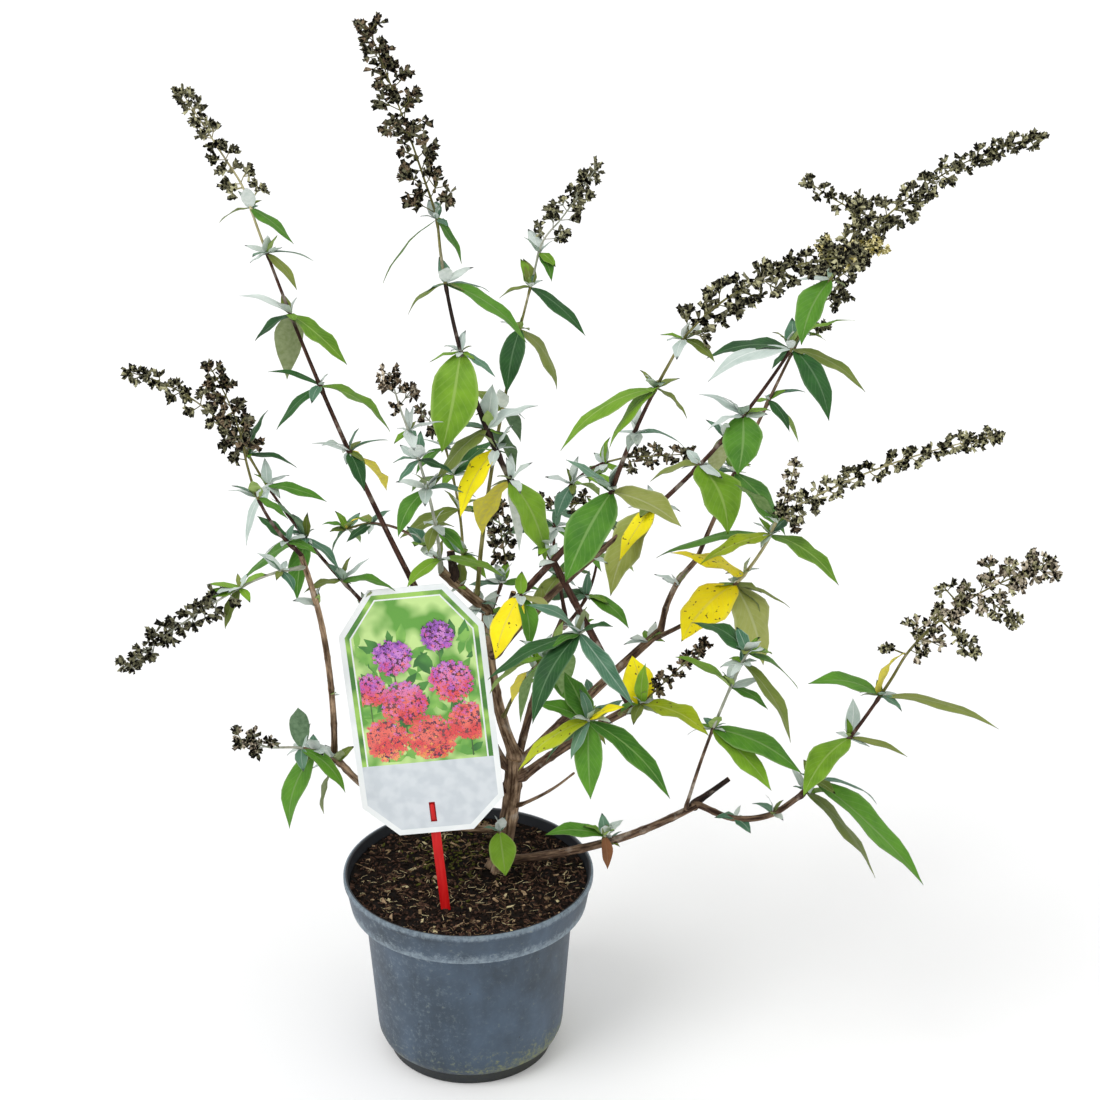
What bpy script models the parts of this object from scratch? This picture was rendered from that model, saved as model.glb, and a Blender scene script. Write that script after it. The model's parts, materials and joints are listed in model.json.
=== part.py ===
"""A butterfly bush in its nursery pot, made as separate closed solids.

The origin is the middle of the pot's flat underside, +Z is up and -Y faces the viewer. Sizes are metres,
apart from the leaves' lengths and widths, which are millimetres. Directions are given the way a gardener
points: a heading (0 is +X, 90 is away from the viewer) and a rise above level, both in degrees.
"""

import math
import random
from dataclasses import dataclass

import bmesh
import bpy
from mathutils import Matrix, Vector, noise
from mathutils.bvhtree import BVHTree

MM = 0.001
GAP = 0.0003

# Pot
POT_HEIGHT = 0.152
RIM_RADIUS = 0.095
BAND_FOOT_RADIUS = 0.090
BAND_BOTTOM = 0.126
BODY_TOP_RADIUS = 0.0795
BODY_FOOT_RADIUS = 0.072
FOOT_RADIUS = 0.063
FOOT_HEIGHT = 0.009
POT_WALL = 0.0019
POT_FLOOR = 0.0026
DRAIN_COUNT = 8
DRAIN_RADIUS = 0.0045
DRAIN_CIRCLE = 0.050
POT_SEGMENTS = 44

# Soil
SOIL_TOP = 0.139
SOIL_LUMP = 0.0022
SOIL_RINGS = 7
SOIL_SEGMENTS = 36

# Trunk
TRUNK_FOOT = Vector((0.022, 0.022, SOIL_TOP + GAP))
TRUNK_FORK = Vector((0.036, 0.020, 0.238))
TRUNK_BOW = 0.002
TRUNK_RADIUS = 0.0062
TRUNK_TOP_RADIUS = 0.0074
FLARE_HEIGHT = 0.014
FLARE_EXTRA = 0.0035
FLARE_LOBES = 5
TRUNK_SIDES = 12
TRUNK_RINGS = (0.0, 0.05, 0.12, 0.22, 0.36, 0.52, 0.68, 0.84, 1.0)
TRUNK_STEPS = 20

# Label: the card hangs on the stick by a slot
SLOT_CENTRE = Vector((-0.0242, -0.0315, 0.2200))
LABEL_ROLL = math.radians(-5.8)
LABEL_TILT = math.radians(-5.0)
CARD_WIDTH = 0.105
CARD_HEIGHT = 0.193
CARD_CORNER = 0.025
CARD_TOP_CUT = 0.033
CARD_BOTTOM_CUT = 0.0245
CARD_THICKNESS = 0.0008
SLOT_ABOVE_EDGE = 0.0165
SLOT_OFFSET = 0.001
SLOT_SIZE = (0.0046, 0.016)
STICK_WIDTH = 0.007
STICK_THICKNESS = 0.0022
STICK_GROOVE = (0.0030, 0.0008)
STICK_BELOW_SLOT = 0.140
STICK_ABOVE_SLOT = 0.012
STICK_POINT = 0.014
HOOK_SIZE = (0.0030, 0.012)
HOOK_REACH = 0.0012

# Wood, leaves and seed heads
STEP_LENGTH = 0.026
BOUGH_SIDES = 8
STEM_SIDES = 3
RACHIS_TIP_RADIUS = 0.0007
LEAF_DROOP = 0.09
LEAF_THICKNESS = 0.022
LEAF_ROLL = 12
ROOT_SINK = 0.0003
TURN_TRIES = 7
TURN_ANGLE = 9
TUFT_RANGE_MM = (12, 22)
TUFT_CHANCE = 0.22
CLUSTER_SPACING = 0.0150
CLUSTER_GIRTH = 0.72
CLUSTER_SINK = 0.0003
CLUSTER_TAPER = 0.55


@dataclass(frozen=True)
class Growth:
    """One run of wood: the way it sets out, its length, and how far it bends by its end."""

    heading: float
    rise: float
    length: float
    turn: float = 0.0
    lift: float = 0.0


@dataclass(frozen=True)
class Bough:
    """A tapering limb that springs from its parent a fraction of the way along it."""

    name: str
    parent: str
    at: float
    growth: Growth
    radius: float
    tip_radius: float


@dataclass(frozen=True)
class Spray:
    """A leafy shoot, with a dried flower spike on its end where it has one.

    Each joint is (fraction along the stem, leaf, leaf, ...) and each leaf is (heading, rise, length in mm,
    width over length).
    """

    name: str
    parent: str
    at: float
    stem: Growth
    radius: float
    neck_radius: float
    joints: tuple
    spike: Growth = None
    spike_reach: float = 0.0


BOUGHS = (
    Bough("right_bough", "trunk", 0.86, Growth(-26, 44, 0.120, -5, -5), 0.0042, 0.0034),
    Bough("upper_right_bough", "right_bough", 1.0, Growth(157, 60, 0.178), 0.0031, 0.0027),
    Bough("rear_bough", "trunk", 0.97, Growth(17, 43, 0.142, -10), 0.0043, 0.0034),
    Bough("upper_rear_bough", "rear_bough", 1.0, Growth(61, 71, 0.060, -45, -30), 0.0026, 0.0023),
    Bough("centre_bough", "trunk", 1.0, Growth(179, 69, 0.120, -60, 20), 0.0048, 0.0046),
    Bough("crown_bough", "centre_bough", 1.0, Growth(178, 43, 0.045), 0.0044, 0.0038),
    Bough("front_bough", "centre_bough", 0.93, Growth(-45, 47, 0.165, 12, 5), 0.0030, 0.0024),
    Bough("middle_bough", "centre_bough", 0.72, Growth(-14, 54, 0.155, 15, -15), 0.0036, 0.0025),
    Bough("left_bough", "trunk", 0.93, Growth(-177, 64, 0.168, 0, 5), 0.0036, 0.0028),
    Bough("side_bough", "trunk", 0.72, Growth(-167, 56, 0.202, 10, 5), 0.0026, 0.0019),
    Bough("low_left_bough", "trunk", 0.35, Growth(-163, 9, 0.154, 0, 50), 0.0034, 0.0029),
    Bough("outer_left_bough", "low_left_bough", 1.0, Growth(-74, 83, 0.180, -70, -10), 0.0027, 0.0022),
    Bough("low_right_bough", "trunk", 0.12, Growth(-21, 16, 0.162, 10, 20), 0.0040, 0.0030),
    Bough("outer_right_bough", "low_right_bough", 1.0, Growth(-28, -22, 0.085, 20, 75), 0.0027, 0.0024),
    Bough("back_bough", "trunk", 0.80, Growth(73, 53, 0.128, -25), 0.0036, 0.0030),
    Bough("dead_twig", "trunk", 0.6, Growth(-33, 32, 0.060, 20, 15), 0.0017, 0.0009),
    Bough("right_stub", "low_right_bough", 0.98, Growth(10, 36, 0.032), 0.0026, 0.0021),
    Bough("centre_stub", "centre_bough", 0.88, Growth(-5, 52, 0.034, 0, 25), 0.0027, 0.0023),
    Bough("crown_stub", "crown_bough", 0.8, Growth(120, 72, 0.018), 0.0034, 0.0032),
)

# Leaf shapes, as width over length
SLIM = 0.17
LANCE = 0.27
OVATE = 0.36
BROAD = 0.52

SPRAYS = (
    Spray("high_left_spray", "left_bough", 1.0, Growth(159, 62, 0.305, -15, 5), 0.0026, 0.0011, (
        (0.34, (40, -50, 50, BROAD), (-65, -35, 35, OVATE), (-130, 25, 30, LANCE), (20, 10, 30, SLIM),
         (160, 5, 30, SLIM)),
        (0.51, (-145, -35, 45, LANCE), (165, 10, 40, SLIM), (-15, -30, 60, OVATE)),
        (0.69, (-135, -20, 35, OVATE), (-25, -35, 55, OVATE), (110, -70, 60, OVATE), (165, 15, 40, SLIM)),
        (0.84, (-35, -40, 35, LANCE), (20, -15, 35, SLIM)),
        (0.95, (180, -25, 25, OVATE), (-20, -35, 40, OVATE)),
    ), Growth(145, 50, 0.083, 5), 0.017),
    Spray("tall_spray", "upper_right_bough", 1.0, Growth(169, 62, 0.205, -40, 20), 0.0027, 0.0012, (
        (0.05, (50, -60, 60, BROAD), (110, -70, 55, OVATE), (135, -60, 60, BROAD)),
        (0.17, (-135, -50, 55, OVATE)),
        (0.25, (-150, -40, 50, OVATE), (45, -55, 50, OVATE), (20, 10, 30, OVATE)),
        (0.53, (-120, -65, 65, BROAD)),
        (0.77, (180, -40, 35, OVATE), (-10, -35, 70, LANCE), (45, -20, 45, SLIM)),
        (0.99, (180, -50, 60, SLIM), (-30, -55, 35, OVATE)),
    ), Growth(175, 74, 0.134, 0, -5), 0.026),
    Spray("upright_spray", "crown_bough", 0.3, Growth(82, 59, 0.266, -30, 5), 0.0021, 0.0010, (
        (0.40, (60, -30, 35, OVATE), (240, -20, 30, OVATE)),
        (0.52, (135, 15, 30, OVATE), (55, -55, 40, OVATE)),
        (0.75, (0, -60, 55, OVATE), (-110, -55, 50, OVATE)),
        (0.87, (180, -20, 25, OVATE), (-25, -35, 55, LANCE)),
        (0.97, (-60, -45, 25, OVATE)),
    ), Growth(48, 31, 0.075, -5, 15), 0.019),
    Spray("front_right_spray", "front_bough", 1.0, Growth(-58, 66, 0.160, 10, -10), 0.0022, 0.0011, (
        (0.05, (-135, -50, 70, BROAD), (-130, 40, 30, OVATE), (20, -25, 55, BROAD), (150, 25, 40, LANCE)),
        (0.41, (30, -25, 45, SLIM), (-105, -15, 22, OVATE)),
        (0.68, (-165, -30, 75, LANCE), (-150, -45, 50, OVATE), (0, -45, 30, OVATE)),
        (0.98, (-25, -30, 25, OVATE)),
    ), Growth(-30, 53, 0.140, 5, -45), 0.018),
    Spray("far_right_spray", "upper_rear_bough", 1.0, Growth(32, 63, 0.210, 0, -5), 0.0022, 0.0012, (
        (0.34, (-20, -35, 50, OVATE), (140, -20, 35, OVATE)),
        (0.62, (20, -55, 45, SLIM), (-55, -35, 30, OVATE), (20, 5, 30, SLIM)),
        (0.82, (-140, -25, 25, OVATE), (-50, -50, 60, OVATE)),
        (0.88, (0, 15, 40, OVATE)),
    ), Growth(20, 59, 0.210, -10, -50), 0.018),
    Spray("inner_right_spray", "middle_bough", 1.0, Growth(2, 42, 0.225, 0, 25), 0.0022, 0.0012, (
        (0.05, (-125, -30, 50, OVATE), (-150, -60, 70, BROAD)),
        (0.26, (-60, -45, 60, BROAD), (165, -25, 40, OVATE)),
        (0.38, (105, -60, 50, OVATE)),
        (0.47, (-150, -10, 30, OVATE), (-100, -50, 45, BROAD), (160, 20, 30, SLIM), (60, -70, 30, OVATE)),
        (0.73, (-160, -15, 65, LANCE), (-20, -25, 60, OVATE), (170, -10, 60, OVATE), (-45, 55, 25, OVATE)),
        (0.98, (115, -50, 35, OVATE), (-135, -55, 50, BROAD)),
    ), Growth(15, 58, 0.055, 5, 20), 0.021),
    Spray("right_spray", "rear_bough", 0.97, Growth(-32, 33, 0.162, -10, 35), 0.0022, 0.0012, (
        (0.55, (130, -55, 50, OVATE), (-140, -30, 65, BROAD), (-65, -60, 55, OVATE), (35, -65, 60, BROAD),
         (-170, 15, 60, BROAD), (0, -25, 35, SLIM)),
        (0.89, (-165, -15, 55, OVATE), (-20, -25, 60, OVATE), (160, -20, 90, SLIM)),
        (0.96, (-155, 45, 50, OVATE)),
    ), Growth(-30, 40, 0.175, 5, -20), 0.013),
    Spray("low_right_spray", "outer_right_bough", 1.0, Growth(-21, 56, 0.150, -10, 10), 0.0022, 0.0013, (
        (0.04, (-15, -50, 85, LANCE)),
        (0.12, (-20, -40, 110, LANCE), (20, -30, 60, SLIM)),
        (0.43, (-140, -35, 55, BROAD), (80, 45, 30, OVATE), (0, -20, 45, SLIM)),
        (0.72, (-45, 65, 45, OVATE), (-170, 15, 55, OVATE), (-15, -10, 85, LANCE)),
    ), Growth(-16, 59, 0.125, 5, -40), 0.025),
    Spray("pale_right_spray", "low_right_bough", 0.95, Growth(-74, 64, 0.197, 10, -5), 0.0017, 0.0010, (
        (0.51, (-35, -35, 60, OVATE), (-20, -20, 70, OVATE)),
        (0.77, (-165, 35, 50, OVATE), (-20, -25, 30, OVATE)),
        (0.92, (-25, -55, 65, LANCE)),
        (0.98, (15, -40, 50, LANCE), (145, 15, 35, OVATE), (-60, 45, 20, BROAD)),
    )),
    Spray("left_spray", "side_bough", 1.0, Growth(176, 48, 0.140, 0, 15), 0.0017, 0.0011, (
        (0.14, (-150, -5, 30, OVATE), (-15, -5, 40, OVATE), (30, 30, 25, LANCE)),
        (0.43, (-105, -60, 45, OVATE), (-145, 55, 45, OVATE), (-35, -30, 35, OVATE), (160, -30, 40, SLIM),
         (-160, -30, 55, OVATE)),
        (0.77, (-130, -60, 45, SLIM), (-15, -10, 45, LANCE)),
        (0.95, (0, -15, 35, LANCE), (35, 60, 35, OVATE)),
    ), Growth(180, 58, 0.100, 0, -45), 0.015),
    Spray("near_left_spray", "outer_left_bough", 1.0, Growth(-145, 48, 0.095, 35, 25), 0.0018, 0.0011, (
        (0.17, (145, 25, 30, OVATE), (-30, -10, 25, OVATE)),
        (0.67, (170, 10, 22, OVATE), (-20, -30, 25, OVATE)),
    ), Growth(-98, 73, 0.085, -50, -10), 0.019),
    Spray("drooping_left_spray", "outer_left_bough", 0.95, Growth(-134, 13, 0.063, 5, -20), 0.0015, 0.0010, (
        (0.30, (150, 25, 22, OVATE), (-60, -20, 22, OVATE)),
        (0.90, (-160, -15, 30, BROAD), (-135, -60, 30, OVATE)),
    ), Growth(-144, -15, 0.092, 5, -10), 0.017),
    Spray("low_left_spray", "low_left_bough", 0.95, Growth(-125, 47, 0.083, -10, -30), 0.0016, 0.0010, (
        (0.08, (180, -75, 45, OVATE)),
        (0.43, (-140, -65, 60, OVATE), (-110, 55, 20, BROAD)),
        (0.62, (-30, -35, 45, OVATE), (-90, 75, 40, OVATE)),
    ), Growth(-135, 33, 0.035), 0.014),
    Spray("leafy_left_spray", "crown_bough", 0.93, Growth(130, 37, 0.113, 20, -70), 0.0014, 0.0010, (
        (0.24, (-70, -5, 20, BROAD), (110, 10, 25, OVATE)),
        (0.73, (45, 15, 20, OVATE), (220, -20, 25, OVATE)),
        (0.96, (60, -45, 25, OVATE), (-160, 20, 20, OVATE), (-35, 40, 20, OVATE), (170, -60, 25, OVATE)),
    )),
    Spray("inner_left_spray", "crown_bough", 1.0, Growth(-92, 67, 0.160, -40, 0), 0.0017, 0.0010, (
        (0.08, (-135, -20, 35, OVATE), (-15, -10, 50, OVATE)),
        (0.30, (-115, -55, 20, BROAD), (-35, -30, 30, OVATE)),
        (0.53, (0, -10, 35, LANCE), (-135, -45, 40, OVATE)),
        (0.71, (-140, -35, 22, OVATE), (-30, -10, 30, OVATE)),
        (0.88, (0, 15, 25, LANCE)),
    ), Growth(-129, 71, 0.030), 0.015),
    Spray("rear_left_spray", "crown_bough", 0.6, Growth(87, 24, 0.142, 25, 15), 0.0015, 0.0010, (
        (0.20, (125, 15, 40, OVATE), (-50, -20, 30, OVATE)),
        (0.50, (200, -20, 50, OVATE), (30, -30, 45, OVATE)),
        (0.72, (40, 25, 45, OVATE), (140, -30, 50, OVATE)),
        (0.90, (50, -35, 45, OVATE), (230, -20, 35, OVATE)),
    ), Growth(147, 35, 0.025), 0.014),
    Spray("lower_front_spray", "right_bough", 0.65, Growth(-91, 32, 0.118), 0.0016, 0.0010, (
        (0.50, (-170, -40, 40, OVATE), (20, -40, 40, OVATE)),
        (0.97, (-170, -35, 60, OVATE), (-125, -45, 30, OVATE), (-85, -70, 55, OVATE), (-20, -40, 75, OVATE),
         (-20, 30, 30, OVATE), (45, 5, 35, OVATE), (120, 35, 40, BROAD), (160, 10, 40, OVATE)),
    )),
    Spray("front_spray", "centre_bough", 0.3, Growth(-73, 51, 0.190, 15, -15), 0.0017, 0.0010, (
        (0.50, (130, -55, 45, OVATE), (-20, -40, 40, OVATE)),
        (0.63, (160, -40, 55, OVATE)),
        (0.78, (85, -65, 55, OVATE), (150, -65, 75, LANCE)),
        (0.96, (-170, -25, 70, LANCE), (-130, -45, 70, LANCE), (-165, 35, 45, OVATE), (-40, -40, 60, OVATE),
         (-35, 25, 30, OVATE), (-150, -15, 25, OVATE)),
    )),
    Spray("short_right_spray", "right_bough", 0.93, Growth(-72, 34, 0.058), 0.0014, 0.0010, (
        (0.85, (-125, 10, 25, OVATE), (155, 40, 30, OVATE)),
        (0.95, (-20, 0, 50, BROAD), (65, 80, 30, OVATE)),
    )),
    Spray("rear_spray", "back_bough", 1.0, Growth(151, 84, 0.155, -155, -75), 0.0019, 0.0010, (
        (0.20, (60, -20, 55, OVATE), (-120, -30, 45, OVATE)),
        (0.45, (150, -25, 60, OVATE), (-30, -35, 50, OVATE)),
        (0.70, (60, -30, 50, OVATE), (-110, -20, 40, OVATE)),
        (0.90, (110, -40, 45, OVATE)),
    ), Growth(17, -3, 0.055), 0.014),
    Spray("rear_right_spray", "back_bough", 0.93, Growth(36, 31, 0.107, 75, 25), 0.0017, 0.0010, (
        (0.30, (-40, -20, 45, OVATE), (140, -20, 50, OVATE)),
        (0.60, (50, -30, 55, OVATE), (200, -20, 45, OVATE)),
        (0.88, (60, -35, 50, OVATE), (170, 10, 40, OVATE)),
    ), Growth(169, 0, 0.060), 0.014),
    Spray("short_inner_spray", "centre_bough", 0.96, Growth(69, 28, 0.052, 15, -15), 0.0017, 0.0012, (
        (0.60, (20, -20, 35, OVATE), (150, -15, 30, OVATE)),
    ), Growth(108, 60, 0.045), 0.016),
    Spray("centre_tuft", "front_bough", 0.30, Growth(-95, 15, 0.012), 0.0014, 0.0011, (
        (0.85, (-130, -55, 50, BROAD), (-75, -60, 40, OVATE), (-20, -25, 30, OVATE)),
    )),
    Spray("foot_tuft", "trunk", 0.38, Growth(-110, 20, 0.010), 0.0014, 0.0011, (
        (0.85, (-60, -62, 40, BROAD), (-150, 30, 18, OVATE)),
    )),
    Spray("low_right_tuft", "low_right_bough", 0.50, Growth(-80, 55, 0.010), 0.0014, 0.0011, (
        (0.85, (178, 0, 45, OVATE), (40, 20, 20, OVATE), (-90, 60, 16, BROAD)),
    )),
)


def clear_scene():
    """Remove what the file opened with."""
    for item in list(bpy.data.objects):
        bpy.data.objects.remove(item, do_unlink=True)


def paint(name, colour, roughness, metallic=0.0):
    """A plain material in the part's own main colour."""
    material = bpy.data.materials.new(name)
    material.use_nodes = True
    shader = material.node_tree.nodes["Principled BSDF"]
    shader.inputs["Base Color"].default_value = (*colour, 1.0)
    shader.inputs["Roughness"].default_value = roughness
    shader.inputs["Metallic"].default_value = metallic
    material.diffuse_color = (*colour, 1.0)
    return material


def to_object(bm, name, material, smooth=True):
    """Close a bmesh into a named object with outward faces."""
    bmesh.ops.recalc_face_normals(bm, faces=bm.faces)
    mesh = bpy.data.meshes.new(name)
    bm.to_mesh(mesh)
    bm.free()
    if smooth:
        mesh.shade_smooth()
        mesh.set_sharp_from_angle(angle=math.radians(35))
    mesh.materials.append(material)
    made = bpy.data.objects.new(name, mesh)
    bpy.context.scene.collection.objects.link(made)
    return made


def direction(heading, rise):
    """The unit vector for a heading and a rise in degrees."""
    turn, climb = math.radians(heading), math.radians(rise)
    return Vector((math.cos(climb) * math.cos(turn), math.cos(climb) * math.sin(turn), math.sin(climb)))


def grow(start, growth):
    """Points along one run of wood that bends evenly from its first direction to its last."""
    steps = max(3, round(growth.length / STEP_LENGTH))
    points = [start.copy()]
    for index in range(steps):
        part = (index + 0.5) / steps
        way = direction(growth.heading + growth.turn * part, growth.rise + growth.lift * part)
        points.append(points[-1] + way * (growth.length / steps))
    return points


def place_at(points, fraction):
    """The point and the unit direction a fraction of the way along a run."""
    spot = fraction * (len(points) - 1)
    index = min(int(spot), len(points) - 2)
    way = points[index + 1] - points[index]
    return points[index] + way * (spot - index), way.normalized()


def frame_across(way, hint):
    """Two unit vectors across a direction, the first as near the hint as it can be."""
    first = hint - way * hint.dot(way)
    if first.length < 1e-6:
        first = way.orthogonal()
    first.normalize()
    return first, way.cross(first)


def ring(bm, centre, way, radii, hint):
    """One ring of a tube, square to its direction."""
    first, second = frame_across(way, hint)
    verts = []
    for index, radius in enumerate(radii):
        angle = 2 * math.pi * index / len(radii)
        verts.append(bm.verts.new(centre + (first * math.cos(angle) + second * math.sin(angle)) * radius))
    return verts, first


def tube(points, radii, first_way=None):
    """A closed tube along points; each entry of radii is a list of the radii round one ring."""
    bm = bmesh.new()
    hint = Vector((0, -1, 0.2))
    rings = []
    for index, centre in enumerate(points):
        if index == 0:
            way = first_way or (points[1] - points[0])
        elif index == len(points) - 1:
            way = points[-1] - points[-2]
        else:
            way = (points[index + 1] - points[index]).normalized() + (points[index] - points[index - 1]).normalized()
        verts, hint = ring(bm, centre, way.normalized(), radii[index], hint)
        rings.append(verts)
    for low, high in zip(rings, rings[1:]):
        for index in range(len(low)):
            after = (index + 1) % len(low)
            bm.faces.new((low[index], low[after], high[after], high[index]))
    bm.faces.new(reversed(rings[0]))
    bm.faces.new(rings[-1])
    return bm


class Wood:
    """The runs of wood already placed, by name: their points and their radii."""

    def __init__(self):
        self.runs = {}

    def keep(self, name, points, radii):
        """Remember a run, for what springs from it."""
        self.runs[name] = (points, radii)

    def radius_at(self, name, fraction):
        """The radius a fraction of the way along a run."""
        radii = self.runs[name][1]
        spot = fraction * (len(radii) - 1)
        index = min(int(spot), len(radii) - 2)
        return radii[index] + (radii[index + 1] - radii[index]) * (spot - index)

    def spring(self, parent, fraction, way):
        """Where a new run starts, a gap clear of its parent, and the direction its first ring faces."""
        spot, along = place_at(self.runs[parent][0], fraction)
        if fraction >= 1.0:
            return spot + along * GAP, along
        outward = (way - along * way.dot(along)).normalized()
        return spot + outward * (self.radius_at(parent, fraction) + GAP), outward


class Room:
    """What each solid already fills, so that a new piece of another solid can keep clear of it."""

    def __init__(self):
        self.taken = []

    def fill(self, owner, corners, faces):
        """Add a piece's surface under its owner's name."""
        low, high = bounds(corners)
        self.taken.append((owner, low, high, BVHTree.FromPolygons(corners, faces)))

    def is_clear(self, owner, corners, faces):
        """Whether a piece touches nothing that belongs to another solid."""
        low, high = bounds(corners)
        tree = None
        for other, other_low, other_high, other_tree in self.taken:
            if other == owner:
                continue
            if any(low[axis] > other_high[axis] or high[axis] < other_low[axis] for axis in range(3)):
                continue
            if tree is None:
                tree = BVHTree.FromPolygons(corners, faces)
            if tree.overlap(other_tree):
                return False
        return True


def bounds(corners):
    """The lowest and highest corner of a set of points."""
    low = [min(corner[axis] for corner in corners) for axis in range(3)]
    high = [max(corner[axis] for corner in corners) for axis in range(3)]
    return low, high


def surface_of(made):
    """An object's corners and faces."""
    mesh = made.data
    return [vert.co.copy() for vert in mesh.vertices], [tuple(face.vertices) for face in mesh.polygons]


LENS_FACES = ((0, 2, 4), (0, 4, 3), (0, 3, 5), (0, 5, 2), (1, 4, 2), (1, 3, 4), (1, 5, 3), (1, 2, 5))


def lens(base, tip, half_width, half_depth, face_way, lift=0.0):
    """Corners of an eight-faced lens: base, tip, left, right, top and underside."""
    along = tip - base
    normal, side = frame_across(along.normalized(), face_way)
    middle = base + along * 0.45 + normal * lift
    return [base, tip, middle + side * half_width, middle - side * half_width,
            middle + normal * half_depth, middle - normal * half_depth]


def leaf_corners(root, heading, rise, length, width, roll, extra=0.0):
    """A blade sunk into its stem, whose middle stands above the line from its root to its tip."""
    way = direction(heading, rise)
    level = way.cross(Vector((0, 0, 1))).normalized()
    face_way = Matrix.Rotation(math.radians(roll), 3, way) @ level.cross(way)
    depth = max(length * LEAF_THICKNESS / 2, 0.0004) + extra
    start = root - way * ROOT_SINK
    return lens(start, root + way * (length + extra), width / 2 + extra, depth, face_way, length * LEAF_DROOP)


def leaf_pieces(spray, stem, room, rng):
    """The spray's full leaves, each turned a little until it is clear, or left out."""
    for at, *leaves in spray.joints:
        root, _ = place_at(stem, at)
        for heading, rise, length, ratio in leaves:
            roll = rng.uniform(-LEAF_ROLL, LEAF_ROLL)
            size = (length * MM, length * ratio * MM, roll)
            for attempt in range(TURN_TRIES):
                swing = TURN_ANGLE * attempt
                trial = (heading + rng.uniform(-swing, swing), rise + rng.uniform(-swing, swing))
                if room.is_clear(spray.name, leaf_corners(root, *trial, *size, GAP * 2), LENS_FACES):
                    yield leaf_corners(root, *trial, *size)
                    break


def tuft_pieces(spray, stem, room, rng):
    """Small young leaves in the axils, crossing each pair of full leaves."""
    for at, *_ in spray.joints:
        root, _ = place_at(stem, at)
        around = rng.uniform(0, 360)
        for turn in (0, 120, 240):
            length = rng.uniform(*TUFT_RANGE_MM) * MM
            rise = rng.uniform(-10, 60)
            if rng.random() > TUFT_CHANCE:
                continue
            shape = (around + turn, rise, length, length * OVATE, 0.0)
            if room.is_clear(spray.name, leaf_corners(root, *shape, GAP * 2), LENS_FACES):
                yield leaf_corners(root, *shape)


def spike_pieces(spray, run, room, rng):
    """Dried flower clusters in opposite pairs along a spike, each pair square to the last."""
    travelled, twist = CLUSTER_SPACING * 0.4, rng.uniform(0, 180)
    while travelled < spray.spike.length:
        part = travelled / spray.spike.length
        root, along = place_at(run, part)
        reach = spray.spike_reach * (1 - CLUSTER_TAPER * part)
        first, second = frame_across(along, Vector((0, 0, 1)))
        for half in (0, 180):
            angle = math.radians(twist + half + rng.uniform(-20, 20))
            outward = first * math.cos(angle) + second * math.sin(angle)
            way = (outward + along * rng.uniform(0.2, 0.9)).normalized()
            size = reach * rng.uniform(0.75, 1.15)
            girth = size * CLUSTER_GIRTH / 2
            start, tip = root - way * CLUSTER_SINK, root + way * size
            if room.is_clear(spray.name, lens(start, tip, girth + GAP, girth + GAP, along), LENS_FACES):
                yield lens(start, tip, girth, girth, along)
        twist += 90
        travelled += CLUSTER_SPACING * (1 - 0.35 * part)
    tip = run[-1]
    along = (run[-1] - run[-2]).normalized()
    yield lens(tip - along * 0.004, tip + along * spray.spike_reach * 0.5, 0.002, 0.002, Vector((0, 0, 1)))


def piece_object(corners, name):
    """A loose lens-shaped piece, ready to be joined."""
    bm = bmesh.new()
    verts = [bm.verts.new(corner) for corner in corners]
    for face in LENS_FACES:
        bm.faces.new([verts[index] for index in face])
    bmesh.ops.recalc_face_normals(bm, faces=bm.faces)
    mesh = bpy.data.meshes.new(name)
    bm.to_mesh(mesh)
    bm.free()
    return bpy.data.objects.new(name, mesh)


def join_pieces(stem_object, pieces):
    """Fuse a spray's pieces to its stem with one union, and keep its main body."""
    loose = bpy.data.collections.new(stem_object.name + "_pieces")
    bpy.context.scene.collection.children.link(loose)
    for index, corners in enumerate(pieces):
        loose.objects.link(piece_object(corners, f"piece_{index}"))
    union = stem_object.modifiers.new("join", "BOOLEAN")
    union.operation = "UNION"
    union.operand_type = "COLLECTION"
    union.collection = loose
    union.solver = "EXACT"
    bpy.context.view_layer.update()
    joined = bpy.data.meshes.new_from_object(stem_object.evaluated_get(bpy.context.evaluated_depsgraph_get()))
    stem_object.modifiers.clear()
    stem_object.data = joined
    for item in list(loose.objects):
        bpy.data.objects.remove(item, do_unlink=True)
    bpy.data.collections.remove(loose)
    keep_main_body(stem_object)


def keep_main_body(made):
    """Drop loose scraps and the shells of sealed hollows, and merge what fusing left doubled."""
    bm = bmesh.new()
    bm.from_mesh(made.data)
    bmesh.ops.triangulate(bm, faces=bm.faces)
    waiting, bodies = set(bm.verts), []
    while waiting:
        edge = [waiting.pop()]
        body = set(edge)
        while edge:
            for link in edge.pop().link_edges:
                for vert in link.verts:
                    if vert in waiting:
                        waiting.discard(vert)
                        body.add(vert)
                        edge.append(vert)
        bodies.append(body)
    bodies.sort(key=len)
    scraps = [vert for body in bodies[:-1] for vert in body]
    bmesh.ops.delete(bm, geom=scraps, context="VERTS")
    bm.to_mesh(made.data)
    bm.free()


def turned(profile, segments, name, material):
    """A solid turned round Z from an outline of (radius, height) that starts and ends on the axis."""
    bm = bmesh.new()
    verts = [bm.verts.new((radius, 0, height)) for radius, height in profile]
    for low, high in zip(verts, verts[1:]):
        bm.edges.new((low, high))
    bmesh.ops.spin(bm, geom=bm.verts[:] + bm.edges[:], cent=(0, 0, 0), axis=(0, 0, 1), angle=2 * math.pi,
                   steps=segments, use_merge=True)
    bmesh.ops.remove_doubles(bm, verts=bm.verts, dist=0.00001)
    return to_object(bm, name, material)


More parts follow.
